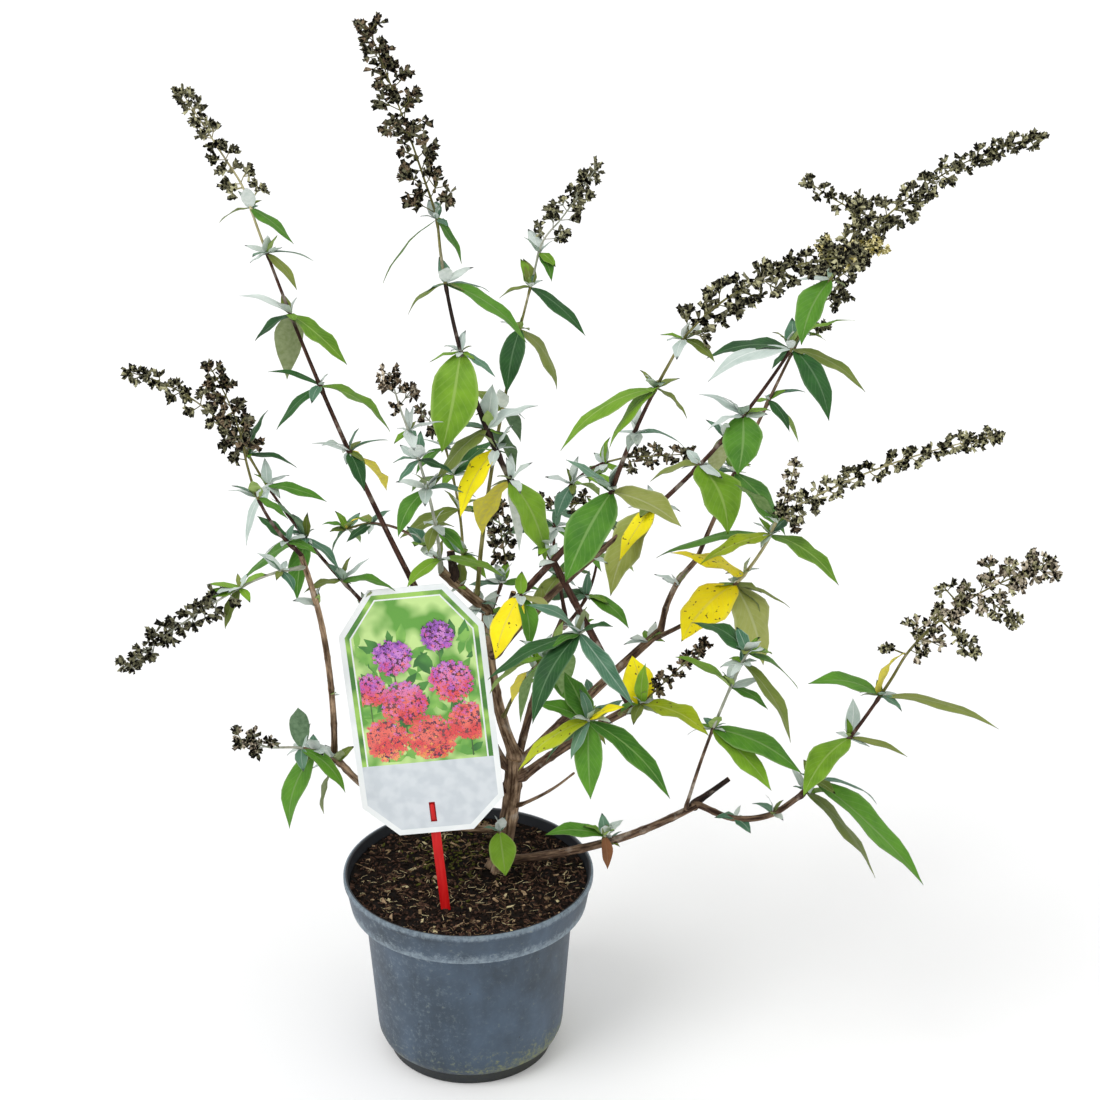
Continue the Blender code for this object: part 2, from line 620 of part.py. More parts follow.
def pot_outline():
    """The pot's outside from the axis up to the rim: foot ring, body, shelf, band and rolled lip."""
    return [(0, 0), (FOOT_RADIUS, 0), (FOOT_RADIUS + 0.0005, FOOT_HEIGHT), (FOOT_RADIUS + 0.0060, FOOT_HEIGHT + 0.004),
            (BODY_FOOT_RADIUS, 0.023), (BODY_TOP_RADIUS, BAND_BOTTOM - 0.003),
            (BODY_TOP_RADIUS + 0.002, BAND_BOTTOM - 0.0005), (BAND_FOOT_RADIUS - 0.001, BAND_BOTTOM - 0.0005),
            (BAND_FOOT_RADIUS, BAND_BOTTOM + 0.001), (RIM_RADIUS - 0.0014, POT_HEIGHT - 0.0055),
            (RIM_RADIUS, POT_HEIGHT - 0.004), (RIM_RADIUS, POT_HEIGHT - 0.0012), (RIM_RADIUS - 0.0008, POT_HEIGHT)]


def bore_outline(gap=0.0):
    """The inside of the pot from its lip down to the axis, or what fits in it a gap clear."""
    wall = POT_WALL + gap
    return [(RIM_RADIUS - wall - 0.0010, POT_HEIGHT), (RIM_RADIUS - wall - 0.0016, POT_HEIGHT - 0.004),
            (BAND_FOOT_RADIUS - wall - 0.0005, BAND_BOTTOM + POT_WALL + gap),
            (BODY_TOP_RADIUS - wall, BAND_BOTTOM + POT_WALL + gap - 0.0015),
            (BODY_FOOT_RADIUS - wall, 0.023), (FOOT_RADIUS + 0.0055 - wall, FOOT_HEIGHT + 0.0055 + gap),
            (FOOT_RADIUS + 0.0003 - wall, FOOT_HEIGHT + 0.0016 + gap), (FOOT_RADIUS - wall, POT_FLOOR + gap),
            (0, POT_FLOOR + gap)]


def make_pot():
    """The pot, with a ring of drain holes through its floor."""
    colour = paint("blue-grey moulded plastic", (0.105, 0.125, 0.150), 0.55)
    pot = turned(pot_outline() + bore_outline(), POT_SEGMENTS, "pot", colour)
    for index in range(DRAIN_COUNT):
        angle = 2 * math.pi * (index + 0.5) / DRAIN_COUNT
        bm = bmesh.new()
        bmesh.ops.create_cone(bm, cap_ends=True, segments=10, radius1=DRAIN_RADIUS, radius2=DRAIN_RADIUS, depth=0.02)
        bmesh.ops.translate(bm, verts=bm.verts, vec=(DRAIN_CIRCLE * math.cos(angle), DRAIN_CIRCLE * math.sin(angle), 0))
        cutter = to_object(bm, f"drain_cutter_{index}", colour)
        cutter.hide_render = True
        cutter.display_type = "WIRE"
        cut = pot.modifiers.new("drain", "BOOLEAN")
        cut.operation = "DIFFERENCE"
        cut.object = cutter
    return pot


def make_soil():
    """The potting soil, with a lumpy top that is flat under the trunk and a pocket for the stick."""
    colour = paint("dark peat soil", (0.030, 0.018, 0.012), 0.95)
    filling = [point for point in bore_outline(GAP) if point[1] < SOIL_TOP]
    top_radius = filling[0][0] + (SOIL_TOP - filling[0][1]) * 0.12
    top = [(top_radius * index / SOIL_RINGS, SOIL_TOP) for index in range(SOIL_RINGS)]
    soil = turned(top + [(top_radius, SOIL_TOP)] + filling, SOIL_SEGMENTS, "soil", colour)
    for vert in soil.data.vertices:
        if vert.co.z < SOIL_TOP - 1e-5:
            continue
        level = Vector((vert.co.x, vert.co.y))
        from_trunk = min(max((level - TRUNK_FOOT.xy).length / 0.016 - 1, 0), 1)
        from_edge = min((top_radius - level.length) / 0.012, 1)
        lump = noise.noise(Vector((vert.co.x, vert.co.y, 0)) * 60) - 0.25
        vert.co.z += SOIL_LUMP * lump * from_trunk * from_edge
    pocket = stick_shape("stick_pocket", colour, GAP)
    pocket.hide_render = True
    pocket.display_type = "WIRE"
    cut = soil.modifiers.new("stick pocket", "BOOLEAN")
    cut.operation = "DIFFERENCE"
    cut.object = pocket
    return soil


def label_place():
    """The label's own frame: its origin in the slot, X across the card, -Y its face and Z along it."""
    return (Matrix.Translation(SLOT_CENTRE) @ Matrix.Rotation(LABEL_ROLL, 4, "Y")
            @ Matrix.Rotation(LABEL_TILT, 4, "X"))


def make_card():
    """The card: a long octagon with the slot that the stick's hook passes through."""
    colour = paint("printed card", (0.70, 0.74, 0.72), 0.45)
    half, low = CARD_WIDTH / 2, -SLOT_ABOVE_EDGE
    high = CARD_HEIGHT - SLOT_ABOVE_EDGE
    inner, bottom, top = half - CARD_CORNER, low + CARD_BOTTOM_CUT, high - CARD_TOP_CUT
    outline = [(-inner, low), (inner, low), (half, bottom), (half, top),
               (inner, high), (-inner, high), (-half, top), (-half, bottom)]
    slot_half, slot_up = SLOT_SIZE[0] / 2, SLOT_SIZE[1] / 2
    bm = bmesh.new()
    rim = [bm.verts.new((x + SLOT_OFFSET, 0, z)) for x, z in outline]
    hole = [bm.verts.new((x, 0, z)) for x, z in ((-slot_half, -slot_up), (slot_half, -slot_up),
                                                (slot_half, slot_up), (-slot_half, slot_up))]
    edges = []
    for loop in (rim, hole):
        for first, second in zip(loop, loop[1:] + loop[:1]):
            edges.append(bm.edges.new((first, second)))
    bmesh.ops.triangle_fill(bm, edges=edges, use_beauty=True)
    grown = bmesh.ops.extrude_face_region(bm, geom=bm.faces[:])
    moved = [item for item in grown["geom"] if isinstance(item, bmesh.types.BMVert)]
    bmesh.ops.translate(bm, verts=moved, vec=(0, CARD_THICKNESS, 0))
    bm.transform(label_place() @ Matrix.Translation((0, -CARD_THICKNESS / 2, 0)))
    return to_object(bm, "label_card", colour, smooth=False)


def stick_shape(name, material, grown=0.0):
    """The stick behind the card: a grooved strip that runs down to a point."""
    half, deep = STICK_WIDTH / 2, STICK_THICKNESS + grown
    groove, cut = STICK_GROOVE[0] / 2, STICK_GROOVE[1]
    section = [(-half, -grown), (half, -grown), (half, deep), (-half, deep)]
    if not grown:
        section[1:1] = [(-groove, 0), (-groove * 0.6, cut), (groove * 0.6, cut), (groove, 0)]
    stations = [(-STICK_BELOW_SLOT - grown, 0.12), (-STICK_BELOW_SLOT + STICK_POINT, 1.0), (STICK_ABOVE_SLOT, 1.0)]
    back = CARD_THICKNESS / 2 + GAP
    bm = bmesh.new()
    rings = [[bm.verts.new((x * wide + math.copysign(grown, x), back + y, z)) for x, y in section]
             for z, wide in stations]
    for low, high in zip(rings, rings[1:]):
        for index in range(len(low)):
            after = (index + 1) % len(low)
            bm.faces.new((low[index], low[after], high[after], high[index]))
    bm.faces.new(rings[0])
    bm.faces.new(rings[-1])
    bm.transform(label_place())
    return to_object(bm, name, material, smooth=False)


def make_stick():
    """The stick, with the hook that holds the card."""
    colour = paint("red moulded plastic", (0.62, 0.010, 0.012), 0.35)
    stick = stick_shape("label_stick", colour)
    bm = bmesh.new()
    bmesh.ops.create_cube(bm, size=1.0)
    front, back = -CARD_THICKNESS / 2 - HOOK_REACH, CARD_THICKNESS / 2 + GAP + STICK_THICKNESS * 0.7
    bmesh.ops.scale(bm, verts=bm.verts, vec=(HOOK_SIZE[0], back - front, HOOK_SIZE[1]))
    bmesh.ops.translate(bm, verts=bm.verts, vec=(0, (front + back) / 2, 0))
    bm.transform(label_place())
    hook = to_object(bm, "hook_shape", colour, smooth=False)
    hook.hide_render = True
    hook.display_type = "WIRE"
    join = stick.modifiers.new("hook", "BOOLEAN")
    join.operation = "UNION"
    join.object = hook
    return stick


def trunk_place(part):
    """The trunk's axis point, radius and flare a fraction of the way up."""
    point = TRUNK_FOOT.lerp(TRUNK_FORK, part) + Vector((TRUNK_BOW * math.sin(math.pi * part), 0, 0))
    radius = TRUNK_RADIUS + (TRUNK_TOP_RADIUS - TRUNK_RADIUS) * part ** 3
    return point, radius, FLARE_EXTRA * math.exp(-(point.z - TRUNK_FOOT.z) / FLARE_HEIGHT)


def make_trunk(wood, room):
    """The trunk: leaning, a little bowed, and flared into lobes where it meets the soil."""
    bark = paint("brown bark", (0.145, 0.095, 0.060), 0.9)
    points, rings = [], []
    for part in TRUNK_RINGS:
        point, radius, flare = trunk_place(part)
        points.append(point)
        rings.append([radius + flare * (1 + 0.5 * math.sin(FLARE_LOBES * 2 * math.pi * side / TRUNK_SIDES))
                      for side in range(TRUNK_SIDES)])
    trunk = to_object(tube(points, rings, Vector((0, 0, 1))), "trunk", bark)
    places = [trunk_place(index / TRUNK_STEPS) for index in range(TRUNK_STEPS + 1)]
    wood.keep("trunk", [place[0] for place in places], [place[1] + place[2] * 1.5 for place in places])
    room.fill("trunk", *surface_of(trunk))


def make_bough(bough, wood, room, bark):
    """One tapering bough from its parent's side or tip."""
    start, facing = wood.spring(bough.parent, bough.at, direction(bough.growth.heading, bough.growth.rise))
    points = grow(start, bough.growth)
    last = len(points) - 1
    radii = [bough.radius + (bough.tip_radius - bough.radius) * index / last for index in range(last + 1)]
    made = to_object(tube(points, [[radius] * BOUGH_SIDES for radius in radii], facing), bough.name, bark)
    wood.keep(bough.name, points, radii)
    room.fill(bough.name, *surface_of(made))


def make_stem(spray, wood, room, green):
    """A spray's stem, which runs on as the spike's stalk."""
    start, facing = wood.spring(spray.parent, spray.at, direction(spray.stem.heading, spray.stem.rise))
    stem = grow(start, spray.stem)
    last = len(stem) - 1
    radii = [spray.radius + (spray.neck_radius - spray.radius) * index / last for index in range(last + 1)]
    points, run = list(stem), None
    if spray.spike:
        run = grow(stem[-1], spray.spike)
        for index in range(1, len(run)):
            radii.append(spray.neck_radius + (RACHIS_TIP_RADIUS - spray.neck_radius) * index / (len(run) - 1))
        points += run[1:]
    made = to_object(tube(points, [[radius] * STEM_SIDES for radius in radii], facing), spray.name, green)
    room.fill(spray.name, *surface_of(made))
    return made, stem, run


def make_plant():
    """Trunk, boughs and sprays; every stem is placed before the first leaf."""
    wood, room = Wood(), Room()
    for made in (make_card(), make_stick(), make_soil()):
        room.fill(made.name, *surface_of(made))
    make_trunk(wood, room)
    bark = paint("red-brown bark", (0.085, 0.050, 0.035), 0.85)
    for bough in BOUGHS:
        make_bough(bough, wood, room, bark)
    green = paint("green and yellow leaves", (0.165, 0.240, 0.050), 0.6)
    stems = [(spray, *make_stem(spray, wood, room, green)) for spray in SPRAYS]
    for spray, made, stem, run in stems:
        rng = random.Random(spray.name)
        pieces = []
        makers = [leaf_pieces(spray, stem, room, rng), tuft_pieces(spray, stem, room, rng)]
        if run:
            makers.insert(0, spike_pieces(spray, run, room, rng))
        for maker in makers:
            for corners in maker:
                room.fill(spray.name, corners, LENS_FACES)
                pieces.append(corners)
        join_pieces(made, pieces)


clear_scene()
make_pot()
make_plant()
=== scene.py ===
"""Looks of a butterfly bush in its nursery pot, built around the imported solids.

The plant is grown here again by the rule that shapes its solids: every limb is one run of wood with a
heading, a rise and an even bend. The runs then get bark, joints, young leaves, full leaves and dried
flower heads. Lengths are metres, apart from leaf lengths, which are millimetres, and angles are degrees.
"""

import json
import logging
import math
import random
from collections.abc import Callable, Sequence
from dataclasses import dataclass, field
from enum import Enum
from functools import partial

import bpy
import numpy as np
from mathutils import Matrix, Vector

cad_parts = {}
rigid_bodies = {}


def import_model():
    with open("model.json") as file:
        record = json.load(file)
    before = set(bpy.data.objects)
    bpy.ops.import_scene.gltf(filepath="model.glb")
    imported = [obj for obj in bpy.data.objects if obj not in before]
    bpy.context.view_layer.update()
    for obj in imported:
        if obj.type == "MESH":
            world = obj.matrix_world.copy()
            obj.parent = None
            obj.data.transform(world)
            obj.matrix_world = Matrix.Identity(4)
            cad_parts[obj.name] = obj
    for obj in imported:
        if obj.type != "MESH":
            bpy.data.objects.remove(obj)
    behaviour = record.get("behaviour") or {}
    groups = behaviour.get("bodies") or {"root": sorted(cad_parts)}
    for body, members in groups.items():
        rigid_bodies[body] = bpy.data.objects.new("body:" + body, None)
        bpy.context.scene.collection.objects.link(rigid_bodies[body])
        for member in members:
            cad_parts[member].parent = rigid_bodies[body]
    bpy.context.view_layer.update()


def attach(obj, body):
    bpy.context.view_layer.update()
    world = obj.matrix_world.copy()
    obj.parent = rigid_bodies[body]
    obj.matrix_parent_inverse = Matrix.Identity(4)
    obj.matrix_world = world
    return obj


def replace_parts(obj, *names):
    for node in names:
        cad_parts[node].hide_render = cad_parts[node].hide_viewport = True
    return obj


LOG = logging.getLogger("butterfly_bush")

MM = 0.001
GAP = 0.0003
BODY = "root"
GRAIN = "grain"
PRINCIPLED = "Principled BSDF"

# The trunk and the rule of growth, as in the solids
SOIL_TOP = 0.139
TRUNK_FOOT = Vector((0.022, 0.022, SOIL_TOP + GAP))
TRUNK_FORK = Vector((0.036, 0.020, 0.238))
TRUNK_BOW = 0.002
TRUNK_RADIUS = 0.0062
TRUNK_TOP_RADIUS = 0.0074
FLARE_HEIGHT = 0.014
FLARE_EXTRA = 0.0035
FLARE_LOBES = 5
TRUNK_STEPS = 20
STEP_LENGTH = 0.026
RACHIS_TIP_RADIUS = 0.0007

# The way that a tube's first side faces, and how deep a run's skin starts inside its parent
FIRST_SIDE = (0.0, 1.0, 0.2)
ROOT_DEPTH = 0.004

# Leaf shapes, as width over length
SLIM = 0.17
LANCE = 0.27
OVATE = 0.36
BROAD = 0.48
ROUND = 0.64


def linear(colour: str) -> tuple[float, float, float, float]:
    """Turn an sRGB hex colour into the linear values that a shader takes.

    Args:
        colour: The colour as #rrggbb.

    Returns:
        Red, green, blue and an alpha of one.
    """
    channels = [int(colour[place:place + 2], 16) / 255 for place in (1, 3, 5)]
    bent = [value / 12.92 if value <= 0.04045 else ((value + 0.055) / 1.055) ** 2.4 for value in channels]
    return bent[0], bent[1], bent[2], 1.0


def add_node(tree: bpy.types.NodeTree, kind: str, inputs: dict | None = None, output: int | str = 0,
             **settings: object) -> bpy.types.NodeSocket:
    """Add one shader node with its settings and links.

    Args:
        tree: The node tree of a material or a world.
        kind: The node's type name without its ShaderNode prefix.
        inputs: Values or output sockets for its inputs, by name or by index.
        output: The output to hand back, by name or by index.
        settings: Properties of the node itself.

    Returns:
        That output's socket.
    """
    node = tree.nodes.new("ShaderNode" + kind)
    for name, value in settings.items():
        setattr(node, name, value)
    for name, value in (inputs or {}).items():
        if isinstance(value, bpy.types.NodeSocket):
            tree.links.new(value, node.inputs[name])
        else:
            node.inputs[name].default_value = value
    return node.outputs[output]


def new_material(name: str, roughness: float, ior: float = 1.5,
                 sheen: float = 0.5) -> tuple[bpy.types.Material, Callable[..., bpy.types.NodeSocket]]:
    """Start a material with one Principled shader.

    Args:
        name: The real material's name.
        roughness: The surface's typical roughness.
        ior: The material's index of refraction.
        sheen: The strength of its highlights, below a half where the surface is broken or dusty.

    Returns:
        The material, and add_node bound to its tree.
    """
    material = bpy.data.materials.new(name)
    material.use_nodes = True
    shader = material.node_tree.nodes[PRINCIPLED]
    shader.inputs["Roughness"].default_value = roughness
    shader.inputs["IOR"].default_value = ior
    shader.inputs["Specular IOR Level"].default_value = sheen
    return material, partial(add_node, material.node_tree)


def coat(material: bpy.types.Material, colour: bpy.types.NodeSocket,
          relief: bpy.types.NodeSocket | None = None, strength: float = 0.0,
          depth_mm: float = 0.0) -> bpy.types.Material:
    """Give a material its colour and, where it has one, its fine relief.

    Args:
        material: The material.
        colour: The socket that carries its colour.
        relief: The socket that carries its relief.
        strength: How strongly the relief shows.
        depth_mm: The relief's depth in millimetres.

    Returns:
        The same material.
    """
    tree = material.node_tree
    shader = tree.nodes[PRINCIPLED]
    tree.links.new(colour, shader.inputs["Base Color"])
    if relief is not None:
        normal = add_node(tree, "Bump", {"Height": relief, "Strength": strength, "Distance": depth_mm * MM})
        tree.links.new(normal, shader.inputs["Normal"])
    return material


COLOURS = {"data_type": "RGBA"}


class Tint(Enum):
    """The leaves' colours in late season: upper side, its second tone, and underside."""

    DEEP = ("#1b4020", "#2f5f2a", "#6f8a6a")
    GREEN = ("#35681a", "#578c26", "#869f68")
    LIME = ("#557f1a", "#7ba62a", "#9cb16a")
    CITRON = ("#8aa010", "#b4c022", "#b3bc6e")
    YELLOW = ("#fdf012", "#f0da0c", "#d4c860")
    OLIVE = ("#61752a", "#808b42", "#96a179")
    BEIGE = ("#8a9442", "#a5aa62", "#b4ba8e")
    FELT = ("#3f6b50", "#6a8e75", "#aabcac")
    SILVER = ("#a9bab2", "#d2dcd6", "#e2e8e4")
    DRY = ("#4a2c19", "#7a4f30", "#8d6c4c")


class Rind(Enum):
    """The wood's skins: main tone, ridge tone, and the ridges' width in millimetres."""

    OLD = ("#3d2a19", "#b2967a", 1.5)
    BROWN = ("#2d1c14", "#89705a", 1.2)
    RED = ("#27150f", "#5e4136", 1.0)
    DARK = ("#17100d", "#41302a", 1.0)
    OLIVE = ("#575628", "#938d5c", 0.8)
    CREAM = ("#9c9468", "#cdc59f", 0.8)
    SILVER = ("#8a8d7c", "#bfc3b5", 0.6)
    CUT = ("#7d6449", "#b99873", 1.0)


class Seed(Enum):
    """The dried flowers' tones: body and highlight."""

    BLACK = ("#0b0a06", "#7d7b60")
    BROWN = ("#150e08", "#8a7860")
    MOSS = ("#1f1f11", "#bfbc94")
    GOLD = ("#857a3c", "#f6edb8")
    ASH = ("#41382d", "#d2c6b0")
    # Painted shade: the near-black tone inside the husks' split mouths
    MOUTH = ("#040302", "#2a261a")


@dataclass(frozen=True)
class LeafSkin:
    """A leaf's upper side: two soft tones, a pale midrib and side veins, and specks where it has turned."""

    tint: Tint
    speck_mm: float = 0.0
    vein_count: float = 11.0
    slant: float = 0.28
    vein_show: float = 0.25

    def build(self) -> bpy.types.Material:
        """Make the material.

        Returns:
            The skin of a living leaf: waxy above, so a soft sheen lies over broken green.
        """
        main, second, under = (linear(tone) for tone in self.tint.value)
        material, node = new_material(f"{self.tint.name.lower()} leaf, upper side", 0.55, 1.42, 0.28)
        place = node("Attribute", None, "Vector", attribute_name=GRAIN)
        axes = node("SeparateXYZ", {0: place}).node.outputs
        across = node("Math", {0: axes["X"]}, operation="ABSOLUTE")
        slanted = node("Math", {0: across, 1: -self.slant, 2: axes["Y"]}, operation="MULTIPLY_ADD")
        counted = node("Math", {0: slanted, 1: self.vein_count}, operation="MULTIPLY")
        waves = node("Math", {0: counted, 1: 0.5}, operation="PINGPONG")
        side_vein = node("MapRange", {0: waves, 1: 0.0, 2: 0.13, 3: self.vein_show, 4: 0.0})
        midrib = node("MapRange", {0: across, 1: 0.04, 2: 0.09, 3: 0.8, 4: 0.0})
        margin = node("MapRange", {0: across, 1: 0.84, 2: 0.97, 3: 0.0, 4: 0.8})
        ribs = node("Math", {0: side_vein, 1: midrib}, operation="MAXIMUM")
        veins = node("Math", {0: ribs, 1: margin}, operation="MAXIMUM")
        spot = node("TexCoord", None, "Object")
        mottle = node("TexNoise", {"Vector": spot, "Scale": 95.0, "Detail": 4.0})
        own = node("Math", {0: axes["Z"], 1: 0.5, 2: mottle}, operation="MULTIPLY_ADD")
        broken = node("MapRange", {0: own, 1: 0.42, 2: 1.05})
        colour = node("Mix", {0: broken, 6: main, 7: second}, 2, **COLOURS)
        if self.speck_mm:
            cells = node("TexNoise", {"Vector": spot, "Scale": 400 / self.speck_mm, "Detail": 2.0})
            specks = node("MapRange", {0: cells, 1: 0.65, 2: 0.68})
            colour = node("Mix", {0: specks, 6: colour, 7: linear("#4f3a14")}, 2, **COLOURS)
        pale = node("Mix", {0: 0.55, 6: second, 7: under}, 2, **COLOURS)
        colour = node("Mix", {0: veins, 6: colour, 7: pale}, 2, **COLOURS)
        relief = node("Math", {0: mottle, 1: veins}, operation="SUBTRACT")
        return coat(material, colour, relief, 0.5, 0.5)


@dataclass(frozen=True)
class LeafFelt:
    """A leaf's underside: pale matt felt."""

    tint: Tint

    def build(self) -> bpy.types.Material:
        """Make the material.

        Returns:
            Fine felt of hairs: no gloss at all, and a little darker where the hairs are thin.
        """
        under = linear(self.tint.value[2])
        material, node = new_material(f"{self.tint.name.lower()} leaf, felted underside", 0.85, 1.4, 0.2)
        spot = node("TexCoord", None, "Object")
        pile = node("TexNoise", {"Vector": spot, "Scale": 300.0, "Detail": 3.0})
        thin = node("Mix", {0: 0.4, 6: under, 7: linear(self.tint.value[0])}, 2, **COLOURS)
        cover = node("MapRange", {0: pile, 1: 0.35, 2: 0.65})
        colour = node("Mix", {0: cover, 6: thin, 7: under}, 2, **COLOURS)
        return coat(material, colour, pile, 0.3, 0.3)


@dataclass(frozen=True)
class BarkSkin:
    """Bark or the skin of a young stem: ridges that run along the wood."""

    rind: Rind

    def build(self) -> bpy.types.Material:
        """Make the material.

        Returns:
            Dry fibrous bark: matt, paler on its ridges and darker in its cracks.
        """
        main, ridge, width = self.rind.value
        material, node = new_material(f"{self.rind.name.lower()} bark", 0.8, sheen=0.2)
        place = node("Attribute", None, "Vector", attribute_name=GRAIN)
        drawn = node("Mapping", {"Vector": place, "Scale": (1.0, 1.0, 0.12)})
        cracks = node("TexNoise", {"Vector": drawn, "Scale": 500 / width, "Detail": 6.0,
                                                   "Roughness": 0.68})
        spot = node("TexCoord", None, "Object")
        patch = node("TexNoise", {"Vector": spot, "Scale": 75.0, "Detail": 4.0})
        ridges = node("MapRange", {0: cracks, 1: 0.40, 2: 0.62})
        colour = node("Mix", {0: ridges, 6: linear(main), 7: linear(ridge)}, 2, **COLOURS)
        damp = node("MapRange", {0: patch, 1: 0.50, 2: 0.68, 3: 0.0, 4: 0.65})
        colour = node("Mix", {0: damp, 6: colour, 7: linear(main)}, 2, **COLOURS)
        dry = node("MapRange", {0: patch, 1: 0.42, 2: 0.30, 3: 0.0, 4: 0.45})
        colour = node("Mix", {0: dry, 6: colour, 7: linear("#c9c0b2")}, 2, **COLOURS)
        return coat(material, colour, cracks, 0.8, 0.8)


@dataclass(frozen=True)
class SeedHusk:
    """Dried flowers and seed husks: crumpled, with paler tissue and painted highlights in patches."""

    seed: Seed

    def build(self) -> bpy.types.Material:
        """Make the material.

        Returns:
            Papery dead tissue: dull, nearly black where painted fold shade falls, paler in patches of paler
                tissue and painted highlight, and a little darker towards the mouth.
        """
        # The second tone is both paler dry tissue and a painted highlight
        body, edge = self.seed.value
        material, node = new_material(f"{self.seed.name.lower()} dried flower", 0.7, sheen=0.12)
        spot = node("TexCoord", None, "Object")
        fold_shade_and_highlight = node("TexNoise", {"Vector": spot, "Scale": 520.0, "Detail": 4.0})
        own = node("Attribute", None, "Vector", attribute_name=GRAIN)
        axes = node("SeparateXYZ", {0: own}).node.outputs
        varied = node("Math", {0: axes["X"], 1: 0.22, 2: fold_shade_and_highlight}, operation="MULTIPLY_ADD")
        tipped = node("Math", {0: axes["Y"], 1: -0.12, 2: varied}, operation="MULTIPLY_ADD")
        pale_tissue_and_highlight = node("MapRange", {0: tipped, 1: 0.44, 2: 0.60})
        colour = node("Mix", {0: pale_tissue_and_highlight, 6: linear(body), 7: linear(edge)}, 2, **COLOURS)
        return coat(material, colour)


@dataclass(frozen=True)
class PotPlastic:
    """The pot's moulded plastic, weathered: scuffs on its edges, dust, algae low down and soil splashes, with
    painted shade on its recessed foot.
    """

    base: str = "#2a3845"
    pale: str = "#425467"
    scuff: str = "#8d9ca6"
    algae: str = "#7f8348"
    # The colour of the soil splashes, and of the painted shade on the recessed foot
    foot: str = "#191c1e"
    foot_height: float = 0.010
    band_bottom: float = 0.126
    rim: float = 0.151

    def build(self) -> bpy.types.Material:
        """Make the material.

        Returns:
            Injection-moulded polypropylene, satin once and gone chalky and scuffed outdoors.
        """
        material, node = new_material("weathered moulded polypropylene", 0.52, 1.49)
        spot = node("TexCoord", None, "Object")
        axes = node("SeparateXYZ", {0: spot}).node.outputs
        cloud = node("TexNoise", {"Vector": spot, "Scale": 16.0, "Detail": 6.0, "Roughness": 0.62})
        drawn = node("Mapping", {"Vector": spot, "Scale": (1.0, 1.0, 0.22)})
        runs = node("TexNoise", {"Vector": drawn, "Scale": 60.0, "Detail": 5.0})
        tone = node("Math", {0: runs, 1: 0.45, 2: cloud}, operation="MULTIPLY_ADD")
        chalk = node("MapRange", {0: tone, 1: 0.58, 2: 0.92})
        colour = node("Mix", {0: chalk, 6: linear(self.base), 7: linear(self.pale)}, 2, **COLOURS)
        # Dust and fine scratches, thick on the left side
        fine = node("TexNoise", {"Vector": spot, "Scale": 260.0, "Detail": 9.0, "Roughness": 0.78})
        leftwards = node("MapRange", {0: axes["X"], 1: 0.01, 2: -0.085, 3: 0.12, 4: 0.75})
        specks = node("MapRange", {0: fine, 1: 0.52, 2: 0.72})
        dust = node("Math", {0: specks, 1: leftwards}, operation="MULTIPLY")
        colour = node("Mix", {0: dust, 6: colour, 7: linear(self.scuff)}, 2, **COLOURS)
        # Rubbed edges: the band's foot and the lip
        for height, reach, most in ((self.band_bottom, 0.010, 0.75), (self.rim, 0.004, 0.6)):
            gap = node("Math", {0: axes["Z"], 1: height}, operation="SUBTRACT")
            near = node("Math", {0: gap}, operation="ABSOLUTE")
            close = node("MapRange", {0: near, 1: 0.001, 2: reach, 3: 0.20, 4: -0.04})
            worn = node("Math", {0: close, 1: fine}, operation="ADD")
            edge = node("MapRange", {0: worn, 1: 0.50, 2: 0.76, 3: 0.0, 4: most})
            shown = node("MapRange", {0: near, 1: reach * 0.6, 2: reach * 1.4, 3: 1.0, 4: 0.0})
            rub = node("Math", {0: edge, 1: shown}, operation="MULTIPLY")
            colour = node("Mix", {0: rub, 6: colour, 7: linear(self.scuff)}, 2, **COLOURS)
        # Algae in the damp low down, most on the right, soil splashes, and painted shade on the recessed foot
        damp = node("MapRange", {0: axes["Z"], 1: 0.040, 2: 0.012, 3: 0.0, 4: 0.24})
        right = node("MapRange", {0: axes["X"], 1: -0.03, 2: 0.06, 3: 0.35, 4: 1.0})
        wet = node("Math", {0: damp, 1: right, 2: fine}, operation="MULTIPLY_ADD")
        growth = node("MapRange", {0: wet, 1: 0.60, 2: 0.78, 3: 0.0, 4: 0.8})
        colour = node("Mix", {0: growth, 6: colour, 7: linear(self.algae)}, 2, **COLOURS)
        spots = node("TexVoronoi", {"Vector": spot, "Scale": 90.0}, "Distance")
        dots = node("MapRange", {0: spots, 1: 0.075, 2: 0.045, 3: 0.0, 4: 0.75})
        colour = node("Mix", {0: dots, 6: colour, 7: linear(self.foot)}, 2, **COLOURS)
        # Painted shade: the recessed foot ring is darkened all round to the splash colour
        painted_foot_shade = node("MapRange", {0: axes["Z"], 1: self.foot_height + 0.004,
                                                   2: self.foot_height - 0.001, 3: 0.0, 4: 0.92})
        colour = node("Mix", {0: painted_foot_shade, 6: colour, 7: linear(self.foot)}, 2, **COLOURS)
        # The inner wall above the band is made a darker, greyer tone than the outside
        depth = node("Math", {0: axes["X"], 1: axes["X"]}, operation="MULTIPLY")
        square = node("Math", {0: axes["Y"], 1: axes["Y"], 2: depth}, operation="MULTIPLY_ADD")
        radius = node("Math", {0: square}, operation="SQRT")
        # The bore widens with height, so the limit between inside and outside does too
        limit = node("MapRange", {0: axes["Z"], 1: self.band_bottom, 2: self.rim, 3: 0.0885, 4: 0.0934})
        inner = node("Math", {0: radius, 1: limit}, operation="LESS_THAN")
        high = node("Math", {0: axes["Z"], 1: self.band_bottom + 0.001}, operation="GREATER_THAN")
        inside = node("Math", {0: inner, 1: high}, operation="MULTIPLY")
        colour = node("Mix", {0: inside, 6: colour, 7: linear("#23272d")}, 2, **COLOURS)
        return coat(material, colour, fine, 0.18, 0.4)


